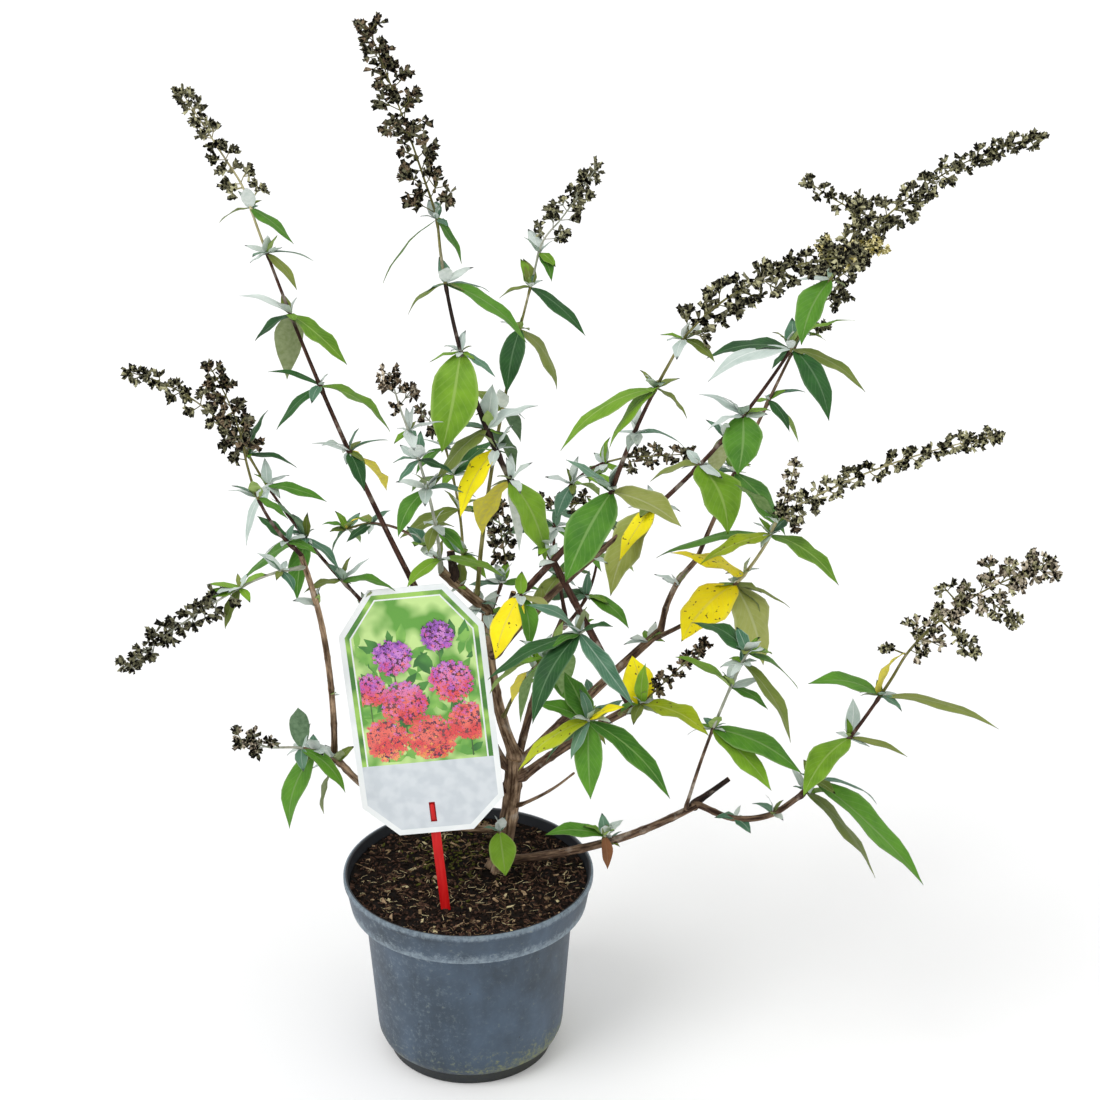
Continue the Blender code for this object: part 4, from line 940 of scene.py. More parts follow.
def tube(line: np.ndarray, radii: np.ndarray, sides: int) -> tuple[np.ndarray, list[list[int]], np.ndarray]:
    """A closed tube round a line.

    Args:
        line: The line's points.
        radii: The radius at each point, or a row of radii round each point.
        sides: How many sides the tube has.

    Returns:
        Its corners, its faces, and the bark's grain place for each corner.
    """
    first, second = cross_directions(line)
    angles = np.arange(sides) * 2 * math.pi / sides
    spread = radii[:, None] if radii.ndim == 1 else radii
    outward = first[:, None] * np.cos(angles)[:, None] + second[:, None] * np.sin(angles)[:, None]
    corners = line[:, None] + outward * spread[..., None]
    grain = np.stack(np.broadcast_arrays(np.cos(angles) * spread, np.sin(angles) * spread,
                                         distances(line)[:, None]), -1)
    faces = []
    for ring in range(len(line) - 1):
        for side in range(sides):
            low, after = ring * sides + side, ring * sides + (side + 1) % sides
            faces.append([low, after, after + sides, low + sides])
    faces.append(list(range(sides))[::-1])
    faces.append(list(range((len(line) - 1) * sides, len(line) * sides)))
    return corners.reshape(-1, 3), faces, grain.reshape(-1, 3)


def tapered(start: float, end: float, count: int) -> list[float]:
    """Radii in even steps from one to another."""
    return [start + (end - start) * index / (count - 1) for index in range(count)]


def rooted(run: Run, parent: Run, fraction: float) -> list[Vector]:
    """A run's points with one more inside its parent, so that its skin starts inside the parent's."""
    inside, along = parent.place(min(fraction, 1.0))
    if fraction >= 1.0:
        inside = inside - along * ROOT_DEPTH
    return [inside, *run.points]


@dataclass
class Wood:
    """Trunk, boughs and stubs, with bark relief, joint swellings and collars where limbs fork."""

    bark_step: float = 0.0018
    sides: int = 22
    thickness: float = 0.88
    ridge_depth: float = 0.055
    ridges: tuple[tuple[int, float, float], ...] = ((3, 1.1, 55), (7, 0.9, 90), (10, 0.6, 140))
    joint_spacing: float = 0.027
    joint_swelling: float = 0.14
    collar: float = 0.0016
    collar_reach: float = 0.006
    runs: dict[str, Run] = field(default_factory=dict)

    def trunk_run(self) -> Run:
        """The trunk's axis and its radii with the root flare."""
        points, radii = [], []
        for index in range(TRUNK_STEPS + 1):
            part = index / TRUNK_STEPS
            point = TRUNK_FOOT.lerp(TRUNK_FORK, part) + Vector((TRUNK_BOW * math.sin(math.pi * part), 0, 0))
            flare = FLARE_EXTRA * math.exp(-(point.z - TRUNK_FOOT.z) / FLARE_HEIGHT)
            points.append(point)
            radii.append(TRUNK_RADIUS + (TRUNK_TOP_RADIUS - TRUNK_RADIUS) * part ** 3 + flare * 1.5)
        return Run(points, radii)

    def relief(self, line: np.ndarray, radii: np.ndarray, rng: random.Random, flare: bool) -> np.ndarray:
        """Radii round each point of a limb, with ridges that wander along it and swollen joints.

        Args:
            line: The limb's points.
            radii: The plain radius at each point.
            rng: The limb's own random numbers.
            flare: Whether the foot spreads in lobes, as the trunk's does.

        Returns:
            A row of radii for each point.
        """
        along = distances(line)[:, None]
        angle = (np.arange(self.sides) * 2 * math.pi / self.sides)[None]
        shape = np.full((len(line), self.sides), 1.0 if flare else self.thickness)
        for count, share, pace in self.ridges:
            phase = rng.uniform(0, 6.28)
            wander = np.sin(along * pace + rng.uniform(0, 6.28)) * 1.3
            shape += (self.ridge_depth * share * np.sin(count * angle + wander + phase)
                      / math.sqrt(count) * 1.4)
        for joint in np.arange(rng.uniform(0.3, 0.9) * self.joint_spacing, along[-1, 0], self.joint_spacing):
            near = np.exp(-((along - joint - rng.uniform(-0.004, 0.004)) / 0.0022) ** 2)
            shape += self.joint_swelling * near * (0.6 + 0.4 * np.cos(2 * angle + rng.uniform(0, 6.28)))
        if flare:
            lobes = 1 + 0.5 * np.sin(FLARE_LOBES * angle)
            extra = FLARE_EXTRA * np.exp(-along / FLARE_HEIGHT) * lobes
            return radii[:, None] * shape + extra
        return radii[:, None] * shape

    def build(self) -> None:
        """Make the bark of trunk and boughs as one joined piece."""
        rinds = list(Rind)
        batch = Batch([BarkSkin(rind).build() for rind in rinds])
        self.runs["trunk"] = self.trunk_run()
        line, along = smooth_line(self.runs["trunk"].points, self.bark_step)
        bare = TRUNK_RADIUS + (TRUNK_TOP_RADIUS - TRUNK_RADIUS) * along ** 3
        self.add(batch, line, self.relief(line, bare, random.Random("trunk"), True), Rind.OLD)
        for bough in BOUGHS:
            self.grow(batch, bough)
        made = batch.piece("bark_wood", "bough_bark")
        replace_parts(made, "trunk", *(bough.name for bough in BOUGHS))

    def grow(self, batch: Batch, bough: Bough) -> None:
        """Place one bough and add its bark."""
        parent = self.runs[bough.parent]
        points = bough.growth.points(parent.spring(bough.at, bough.growth.direction()))
        run = Run(points, tapered(bough.radius, bough.tip_radius, len(points)))
        self.runs[bough.name] = run
        line, along = smooth_line(rooted(run, parent, bough.at), self.bark_step)
        plain = bough.radius + (bough.tip_radius - bough.radius) * along
        reach = np.linalg.norm(line - line[0], axis=1)
        start = parent.radius(1.0) - bough.radius if bough.at >= 1.0 else self.collar
        plain = plain + start * np.exp(-(reach / (self.collar_reach + bough.radius)) ** 2)
        self.add(batch, line, self.relief(line, plain, random.Random(bough.name), False), bough.rind)

    def add(self, batch: Batch, line: np.ndarray, radii: np.ndarray, rind: Rind) -> None:
        """Add one limb's skin, with its cut end in bare wood."""
        corners, faces, grain = tube(line, radii, self.sides)
        rinds = list(Rind)
        looks = [rinds.index(rind)] * len(faces)
        looks[-1] = rinds.index(Rind.CUT)
        batch.add(corners, faces, looks, grain)


LEAF_STATIONS = np.array((0.0, 0.02, 0.06, 0.12, 0.19, 0.28, 0.38, 0.48, 0.58, 0.68, 0.78, 0.87, 0.95, 1.0))
LEAF_COLUMNS = np.array((-1.0, -0.55, 0.0, 0.55, 1.0))
YOUNG_STATIONS = np.array((0.0, 0.10, 0.28, 0.52, 0.78, 1.0))
YOUNG_COLUMNS = np.array((-1.0, 0.0, 1.0))


@dataclass
class Leaves:
    """Full leaves and the young felted leaves in their axils."""

    droop: float = 0.09
    fold: float = 0.17
    thickness: float = 0.0004
    roll: float = 9.0
    twist: float = 18.0
    young_mm: tuple[float, float] = (9.0, 24.0)
    young_ratio: tuple[float, float] = (0.34, 0.54)

    def __post_init__(self) -> None:
        """Prepare the two batches, with upper sides first and undersides after them."""
        self.tints = list(Tint)
        tops = [LeafSkin(tint, 1.5 if tint in (Tint.YELLOW, Tint.CITRON) else 0.0).build()
                for tint in self.tints]
        unders = [LeafFelt(tint).build() for tint in self.tints]
        self.full = Batch(tops + unders)
        self.young = Batch(tops + unders)

    def outline(self, stations: np.ndarray) -> np.ndarray:
        """Half-widths along a leaf with full sides, widest at two fifths and drawn out to a point."""
        body = np.sin(math.pi * np.clip(stations, 0, 1) ** 0.78) ** 0.86
        drawn = np.interp(stations, (0.0, 0.7, 0.9, 1.0), (1.0, 1.0, 0.78, 0.4))
        return np.maximum(body * drawn, 0.05 * (stations < 0.5))

    def add(self, batch: Batch, root: Vector, heading: float, rise: float, length: float, width: float,
            tint: Tint, rng: random.Random, young: bool = False) -> None:
        """Add one leaf.

        Args:
            batch: Where it goes.
            root: Where it leaves the stem.
            heading: Its heading.
            rise: Its rise.
            length: Its length in metres.
            width: Its width in metres.
            tint: Its colour.
            rng: The spray's own random numbers.
            young: Whether it has the few faces of a young leaf.
        """
        stations, columns = (YOUNG_STATIONS, YOUNG_COLUMNS) if young else (LEAF_STATIONS, LEAF_COLUMNS)
        way = np.array(direction(heading, rise))
        level = unit(np.cross(way, (0.0, 0.0, 1.0)))
        up = np.cross(level, way)
        lean = math.radians(rng.uniform(-self.roll, self.roll))
        side = level * math.cos(lean) + up * math.sin(lean)
        face = up * math.cos(lean) - level * math.sin(lean)
        bend = 4 * self.droop * rng.uniform(0.6, 1.4)
        sway = rng.uniform(-0.05, 0.05)
        spine = (np.array(root) + way * (stations * length)[:, None]
                 + face * (bend * stations * (1 - stations) * length)[:, None]
                 + side * (sway * np.sin(stations * 3.1) * length)[:, None])
        half = self.outline(stations) * width / 2
        twist = math.radians(rng.uniform(-self.twist, self.twist)) * stations
        across = side * np.cos(twist)[:, None] + face * np.sin(twist)[:, None]
        above = face * np.cos(twist)[:, None] - side * np.sin(twist)[:, None]
        wave = 0.09 * np.sin(stations * rng.uniform(9, 15) + rng.uniform(0, 6))[:, None] * np.abs(columns)
        fold = self.fold * rng.uniform(0.3, 1.6)
        lift = (fold * np.abs(columns)[None] - 0.12 * columns[None] ** 2 + wave) * half[:, None] * 1.7
        top = (spine[:, None] + across[:, None] * (columns[None, :, None] * half[:, None, None])
               + above[:, None] * lift[..., None])
        under = top - above[:, None] * (self.thickness * (1 - 0.6 * np.abs(columns)))[None, :, None]
        grain = np.stack(np.broadcast_arrays(columns[None], stations[:, None], rng.random()),
                         -1).reshape(-1, 3)
        rows, lanes = len(stations), len(columns)
        faces, looks = [], []
        tone = self.tints.index(tint)
        for row in range(rows - 1):
            for lane in range(lanes - 1):
                low = row * lanes + lane
                high, back = low + lanes, rows * lanes
                for first, second, third in ((low, high, high + 1), (low, high + 1, low + 1)):
                    faces += [[first, second, third], [back + third, back + second, back + first]]
                    looks += [tone, tone + len(self.tints)]
        batch.add(np.concatenate((top.reshape(-1, 3), under.reshape(-1, 3))), faces, looks,
                  np.concatenate((grain, grain)))

    def dress(self, spray: Spray, stem: Run, rng: random.Random) -> None:
        """Add a spray's full leaves and the tufts of young ones at its joints.

        Args:
            spray: The spray.
            stem: Its stem's run.
            rng: The spray's own random numbers.
        """
        for at, *leaves in spray.joints:
            root, _ = stem.place(at)
            for heading, rise, length, ratio, tint in leaves:
                self.add(self.full, root, heading, rise, length * MM, length * ratio * MM, tint, rng)
            self.tuft(root, rng, rng.randint(4, 7))

    def tuft(self, root: Vector, rng: random.Random, count: int, size: float = 1.0) -> None:
        """Add a few young leaves round a joint.

        Args:
            root: The joint.
            rng: The spray's own random numbers.
            count: How many.
            size: How large they are against the usual size.
        """
        around = rng.uniform(0, 360)
        for index in range(count):
            length = rng.uniform(*self.young_mm) * MM * size
            tint = rng.choice((Tint.SILVER, Tint.SILVER, Tint.SILVER, Tint.FELT, Tint.LIME, Tint.OLIVE))
            self.add(self.young, root, around + index * 360 / count + rng.uniform(-30, 30),
                     rng.uniform(-30, 80), length, length * rng.uniform(*self.young_ratio), tint, rng,
                     young=True)

    def build(self) -> None:
        """Make the two joined pieces."""
        self.full.piece("leaves", "foliage")
        self.young.piece("young_leaves", "foliage")


@dataclass
class FlowerHeads:
    """Dried flower heads: pairs of side stalks along a spike, each forking into groups of split husks."""

    twigs: Batch
    look: int = 0
    rng: random.Random = field(default_factory=random.Random)
    spacing: float = 0.0105
    tip_spacing: float = 0.0060
    taper: float = 0.55
    husk_mm: tuple[float, float] = (3.8, 6.6)
    husks: tuple[int, int] = (3, 5)
    fork: float = 0.40
    fork_spacing: float = 0.0065
    stalk_radius: float = 0.00045
    usual_share: float = 0.65
    tip_husks: int = 8

    def __post_init__(self) -> None:
        """Prepare the batch and the faces of a husk: a cup on a point, with a split mouth."""
        self.seeds = list(Seed)
        self.batch = Batch([SeedHusk(seed).build() for seed in self.seeds])
        cup = [[0, 1 + (side + 1) % 4, 1 + side] for side in range(4)]
        wall = [[1 + side, 1 + (side + 1) % 4, 5 + (side + 1) % 4, 5 + side] for side in range(4)]
        mouth = [[5 + side, 5 + (side + 1) % 4, 9] for side in range(4)]
        self.husk_faces = cup + wall + mouth

    def husk(self, root: np.ndarray, way: np.ndarray, length: float, seed: Seed) -> None:
        """Add one husk.

        Args:
            root: Where it starts.
            way: The unit direction it points.
            length: Its length in metres.
            seed: Its tone.
        """
        rng = self.rng
        side = unit(np.cross(way, (rng.uniform(-1, 1), rng.uniform(-1, 1), rng.uniform(-1, 1))))
        other = np.cross(way, side)
        girth = length * rng.uniform(0.20, 0.28)
        corners, heights = [root], [0.0]
        for height, spread in ((0.42, 1.0), (1.0, 1.2)):
            for index, (first, second) in enumerate(((1, 0), (0, 1), (-1, 0), (0, -1))):
                hooked = height == 1.0 and index % 2 == 0
                ragged = spread * (rng.uniform(0.8, 1.4) if hooked else rng.uniform(0.7, 1.05))
                rise = height * (rng.uniform(1.0, 1.22) if hooked else rng.uniform(0.82, 1.0))
                corners.append(root + way * length * rise + (side * first + other * second) * girth * ragged)
                heights.append(rise)
        corners.append(root + way * length * 0.5)
        grain = np.array([(rng.random(), height, 0.0) for height in [*heights, 1.0]])
        grain[:, 0] = grain[0, 0]
        # The mouth's faces take the painted shade
        dark = self.seeds.index(Seed.MOUTH)
        self.batch.add(np.array(corners), self.husk_faces, [self.seeds.index(seed)] * 8 + [dark] * 4, grain)

    def cluster(self, root: Vector, way: Vector, reach: float, seeds: tuple[Seed, Seed]) -> None:
        """Add one side stalk that forks into groups of husks.

        Args:
            root: Where the stalk leaves the spike.
            way: The direction it points.
            reach: How far the cluster reaches.
            seeds: The husks' usual and second tone.
        """
        rng = self.rng
        start, along = np.array(root), np.array(way)
        fork = start + along * reach * self.fork
        self.stalk(start, fork)
        for _ in range(2 + round(reach / self.fork_spacing)):
            aim = unit(along + np.array([rng.gauss(0, 0.5) for _ in range(3)]))
            end = fork + aim * reach * rng.uniform(0.02, 0.42)
            self.stalk(fork, end)
            for _ in range(rng.randint(*self.husks)):
                way_out = unit(aim + np.array([rng.gauss(0, 0.7) for _ in range(3)]))
                seed = seeds[0] if rng.random() < self.usual_share else seeds[1]
                size = min(1.0, 0.72 + reach / 0.05)
                self.husk(end, way_out, rng.uniform(*self.husk_mm) * MM * size, seed)

    def stalk(self, start: np.ndarray, end: np.ndarray) -> None:
        """Add one fine stalk between two points."""
        corners, faces, grain = tube(np.array([start, (start + end) / 2, end]),
                                     np.full(3, self.stalk_radius), 3)
        self.twigs.add(corners, faces, self.look, grain)

    def dress(self, spray: Spray, stem: Run, spike: Run | None, rng: random.Random) -> None:
        """Add a spray's flower head along its spike, and the side heads below or on it.

        Args:
            spray: The spray.
            stem: Its stem's run.
            spike: Its spike's run, where it has one.
            rng: The spray's own random numbers.
        """
        self.look, self.rng = list(Rind).index(spray.rinds[1]), rng
        if spike:
            self.line(spike, spray.spike.length, spray.spike_reach, spray.seeds)
        for at, growth, reach, seeds in spray.side_heads:
            root, _ = stem.place(at) if at <= 1.0 else spike.place(at - 1.0)
            points = growth.points(root)
            line, _ = smooth_line(points, 0.004)
            corners, faces, grain = tube(line, np.linspace(1.6, 1.0, len(line)) * self.stalk_radius, 5)
            self.twigs.add(corners, faces, self.look, grain)
            self.line(Run(points, [self.stalk_radius] * len(points)), growth.length, reach, seeds,
                      min(0.55, 0.010 / growth.length))

    def line(self, run: Run, length: float, reach: float, seeds: tuple[Seed, Seed],
             start: float = 0.0) -> None:
        """Add pairs of clusters along a run, and a few husks on its tip.

        Args:
            run: The run.
            length: Its length.
            reach: How far the clusters at its foot reach.
            seeds: The husks' usual and second tone.
            start: The bare fraction at its foot.
        """
        rng = self.rng
        travelled, twist = self.spacing * 0.3 + start * length, rng.uniform(0, 180)
        while travelled < length:
            part = travelled / length
            root, along = run.place(part)
            first = along.orthogonal().normalized()
            second = along.cross(first)
            full = reach * (1 - self.taper * part)
            for half in (0, 180):
                angle = math.radians(twist + half + rng.uniform(-25, 25))
                outward = first * math.cos(angle) + second * math.sin(angle)
                way = (outward + along * rng.uniform(0.3, 0.9)).normalized()
                self.cluster(root, way, full * rng.uniform(0.70, 1.0), seeds)
            twist += 90
            travelled += self.spacing + (self.tip_spacing - self.spacing) * part
        tip, along = run.place(1.0)
        for _ in range(self.tip_husks):
            loose = Vector([rng.gauss(0, 0.5) for _ in range(3)])
            self.husk(np.array(tip - along * 0.004), np.array((along * 0.8 + loose).normalized()),
                      rng.uniform(*self.husk_mm) * MM * 0.8, seeds[1])


@dataclass
class Foliage:
    """Every spray: its stem, leaves and flower head, grown on from the boughs."""

    wood: Wood
    stem_step: float = 0.004
    sides: int = 8
    joint_swelling: float = 0.45
    joint_reach: float = 0.003
    thickness: float = 0.86
    collar: float = 0.0008
    collar_reach: float = 0.008

    def build(self) -> None:
        """Make the twigs, leaves and flower heads, which stand for the sprays' solids."""
        rinds = list(Rind)
        twigs = Batch([BarkSkin(rind).build() for rind in rinds])
        leaves, heads = Leaves(), FlowerHeads(twigs)
        for spray in SPRAYS:
            rng = random.Random(spray.name)
            stem, spike = self.grow(spray, twigs)
            leaves.dress(spray, stem, rng)
            heads.dress(spray, stem, spike, rng)
        for name, at, count, size in BARE_TUFTS:
            root, _ = self.wood.runs[name].place(at)
            leaves.tuft(root, random.Random(f"{name} {at}"), count, size)
        made = twigs.piece("twigs", "foliage")
        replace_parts(made, *(spray.name for spray in SPRAYS))
        leaves.build()
        heads.batch.piece("dried_flowers", "foliage", smooth=False)

    def grow(self, spray: Spray, twigs: Batch) -> tuple[Run, Run | None]:
        """Place one spray's stem and spike and add their skin.

        Args:
            spray: The spray.
            twigs: The batch for stems.

        Returns:
            The stem's run, and the spike's run where it has one.
        """
        parent = self.wood.runs[spray.parent]
        points = spray.stem.points(parent.spring(spray.at, spray.stem.direction()))
        radii = tapered(spray.radius, spray.neck_radius, len(points))
        stem, spike, route = Run(points, radii), None, list(points)
        if spray.spike:
            tips = spray.spike.points(points[-1])
            spike = Run(tips, [spray.neck_radius, RACHIS_TIP_RADIUS])
            route += tips[1:]
        line, along = smooth_line(rooted(Run(route, radii), parent, spray.at), self.stem_step)
        neck = spray.stem.length / (spray.stem.length + (spray.spike.length if spray.spike else 0.0))
        ends = ((spray.neck_radius * 0.9, RACHIS_TIP_RADIUS * 0.6) if spray.spike
                else (spray.neck_radius, spray.neck_radius))
        plain = np.interp(along, (0.0, neck, 1.0), (spray.radius, *ends))
        reach = np.linalg.norm(line - line[0], axis=1)
        start = (parent.radius(1.0) - spray.radius) * self.thickness if spray.at >= 1.0 else self.collar
        plain = plain * self.thickness + start * np.exp(-(reach / self.collar_reach) ** 2)
        for at, *_ in spray.joints:
            apart = (along - at * neck) / neck * spray.stem.length
            plain = plain * (1 + self.joint_swelling * np.exp(-(apart / self.joint_reach) ** 2))
        corners, faces, grain = tube(line, plain, self.sides)
        looks = [self.rind_at(spray, along[min(face) // self.sides] / neck) for face in faces]
        twigs.add(corners, faces, looks, grain)
        return stem, spike

    def rind_at(self, spray: Spray, fraction: float) -> int:
        """The skin's number at a place on the stem: old below, young from the last joints up."""
        joints = [joint[0] for joint in spray.joints if joint[0] < 0.93]
        change = spray.young_from or (joints[-1] if joints else 0.5)
        return list(Rind).index(spray.rinds[0] if fraction < change else spray.rinds[1])


# Young leaves and buds that sit on bare boughs: bough, fraction along it, how many, and their size
BARE_TUFTS = (
    ("outer_right_bough", 0.35, 5, 0.8), ("outer_right_bough", 0.70, 6, 0.9),
    ("low_right_bough", 0.52, 5, 0.9),
    ("left_bough", 0.45, 3, 0.6), ("left_bough", 0.80, 6, 0.9), ("side_bough", 0.55, 5, 0.8),
    ("side_bough", 0.95, 6, 1.0), ("outer_left_bough", 0.30, 3, 0.6), ("outer_left_bough", 0.75, 4, 0.8),
    ("crown_bough", 0.15, 6, 0.8), ("crown_bough", 0.60, 6, 0.9), ("centre_bough", 0.80, 5, 0.8),
    ("centre_bough", 0.98, 7, 0.9), ("front_bough", 0.55, 5, 0.8), ("front_bough", 0.90, 6, 1.0),
    ("middle_bough", 0.35, 3, 0.6), ("middle_bough", 0.70, 5, 0.9), ("upper_right_bough", 0.40, 3, 0.6),
    ("upper_right_bough", 0.75, 6, 1.0), ("rear_bough", 0.50, 3, 0.7), ("rear_bough", 0.92, 6, 0.9),
    ("upper_rear_bough", 0.60, 6, 0.9), ("back_bough", 0.60, 5, 0.9), ("right_bough", 0.60, 4, 0.7),
)


def edit_all() -> None:
    """Go into edit mode with every face selected."""
    bpy.ops.object.mode_set(mode="EDIT")
    bpy.ops.mesh.select_mode(type="FACE")
    bpy.ops.mesh.select_all(action="SELECT")


def leave_edit() -> None:
    """Leave edit mode with nothing selected."""
    bpy.ops.mesh.select_all(action="DESELECT")
    bpy.ops.object.mode_set(mode="OBJECT")


def lathe(outline: Sequence[tuple[float, float]], segments: int, name: str) -> bpy.types.Object:
    """Raise a round solid ring by ring from a disc: each ring is extruded, lifted and resized.

    Args:
        outline: Radii and heights, from the rim of the bottom disc to the last ring.
        segments: Sides round it.
        name: The object's name.

    Returns:
        The closed solid, which ends in a disc at the last ring.
    """
    radius, height = outline[0]
    bpy.ops.mesh.primitive_circle_add(vertices=segments, radius=radius, fill_type="NGON",
                                      location=(0, 0, height))
    made = bpy.context.object
    made.name = name
    bpy.ops.object.transform_apply(location=True, rotation=False, scale=False)
    edit_all()
    for next_radius, next_height in outline[1:]:
        bpy.ops.mesh.extrude_region_move(TRANSFORM_OT_translate={"value": (0, 0, next_height - height)})
        share = next_radius / radius
        bpy.ops.transform.resize(value=(share, share, 1), center_override=(0, 0, next_height))
        radius, height = next_radius, next_height
    bpy.ops.mesh.select_all(action="SELECT")
    bpy.ops.mesh.normals_make_consistent(inside=False)
    leave_edit()
    return made


def apply_modifier(made: bpy.types.Object, kind: str, **settings: object) -> None:
    """Add a modifier and apply it.

    Args:
        made: The object.
        kind: The modifier's type.
        settings: Its settings.
    """
    bpy.context.view_layer.objects.active = made
    modifier = made.modifiers.new(kind.lower(), kind)
    for name, value in settings.items():
        setattr(modifier, name, value)
    bpy.ops.object.modifier_apply(modifier=modifier.name)


def bevel(made: bpy.types.Object, width: float, segments: int, degrees: float) -> None:
    """Round a piece's edges that are sharper than an angle."""
    apply_modifier(made, "BEVEL", width=width, segments=segments, limit_method="ANGLE",
                   angle_limit=math.radians(degrees))


def combine(made: bpy.types.Object, other: bpy.types.Object, operation: str) -> None:
    """Cut another solid out of a piece, or join it on, and take that solid away."""
    apply_modifier(made, "BOOLEAN", operation=operation, solver="EXACT", object=other)
    bpy.data.objects.remove(other)


def smooth_by_angle(made: bpy.types.Object, degrees: float) -> None:
    """Shade a piece smooth, apart from edges sharper than an angle."""
    bpy.ops.object.select_all(action="DESELECT")
    made.select_set(True)
    bpy.ops.object.shade_smooth_by_angle(angle=math.radians(degrees))


def rings(parts: Sequence[tuple], inwards: float = 0.0) -> list[tuple[float, float]]:
    """Radii and heights of rings, each given as an offset from the radius and height of its part."""
    return [(radius - inwards + out, height + up) for radius, height, offsets in parts for out, up in offsets]


def dress(made: bpy.types.Object, slot: str, *materials: bpy.types.Material) -> bpy.types.Object:
    """Give a modelled piece its materials and its body.

    Args:
        made: The piece.
        slot: The record's material slot; not used.
        materials: Its materials in order.

    Returns:
        The same piece.
    """
    for material in materials:
        made.data.materials.append(material)
    bpy.ops.object.select_all(action="DESELECT")
    LOG.info("%s: %d faces", made.name, len(made.data.polygons))
    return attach(made, BODY)


@dataclass
class Pot:
    """The nursery pot: foot ring, body, shelf, band and rolled lip, with drain holes in its floor."""

    height: float = 0.152
    rim_radius: float = 0.095
    band_foot_radius: float = 0.090
    band_bottom: float = 0.126
    body_top_radius: float = 0.0795
    body_foot_radius: float = 0.072
    body_foot: float = 0.023
    foot_radius: float = 0.063
    foot_height: float = 0.009
    wall: float = 0.0019
    floor: float = 0.0026
    drain_count: int = 8
    drain_radius: float = 0.0045
    drain_circle: float = 0.050
    segments: int = 128

    def outside(self) -> list[tuple[float, float]]:
        """The outside from the foot's edge to the lip's top, as radii and heights."""
        return rings((
            (self.foot_radius, 0.0, ((-0.001, 0.0), (0.0, 0.001))),
            (self.foot_radius, self.foot_height, ((0.0005, 0.0), (0.0036, 0.0018), (0.0060, 0.0040))),
            (self.body_foot_radius, self.body_foot, ((-0.0007, -0.0045), (0.0, 0.0), (0.0036, 0.0490))),
            (self.body_top_radius, self.band_bottom, ((0.0, -0.0030), (0.0006, -0.0012), (0.0020, -0.0005))),
            (self.band_foot_radius, self.band_bottom,
             ((-0.0012, -0.0005), (-0.0004, -0.0002), (0.0, 0.0010))),
            (self.rim_radius, self.height, ((-0.0014, -0.0055), (-0.0004, -0.0048), (0.0, -0.0040),
                                            (0.0, -0.0012), (-0.0003, -0.0003), (-0.0010, 0.0)))))

    def bore(self, gap: float = 0.0) -> list[tuple[float, float]]:
        """The inside from the lip down to the floor, or what fits in it a gap clear."""
        wall = self.wall + gap
        return rings((
            (self.rim_radius, self.height, ((-0.0006, 0.0), (-0.0012, -0.0006), (-0.0016, -0.0040))),
            (self.band_foot_radius, self.band_bottom + wall, ((-0.0005, 0.0),)),
            (self.body_top_radius, self.band_bottom + wall, ((0.0, -0.0015),)),
            (self.body_foot_radius, self.body_foot, ((0.0, 0.0),)),
            (self.foot_radius, self.foot_height + gap, ((0.0055, 0.0055), (0.0003, 0.0016))),
            (self.foot_radius, self.floor + gap, ((0.0, 0.0),))), wall)

    def build(self) -> None:
        """Make the pot's piece, which stands for the solid pot."""
        pot = lathe(self.outside() + self.bore(), self.segments, "nursery_pot")
        for index in range(self.drain_count):
            angle = 2 * math.pi * (index + 0.5) / self.drain_count
            bpy.ops.mesh.primitive_cylinder_add(vertices=24, radius=self.drain_radius, depth=0.02,
                                                location=(self.drain_circle * math.cos(angle),
                                                          self.drain_circle * math.sin(angle), 0))
            combine(pot, bpy.context.object, "DIFFERENCE")
        bevel(pot, 0.0003, 2, 50)
        smooth_by_angle(pot, 35)
        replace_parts(dress(pot, "pot_plastic", PotPlastic().build()), "pot")


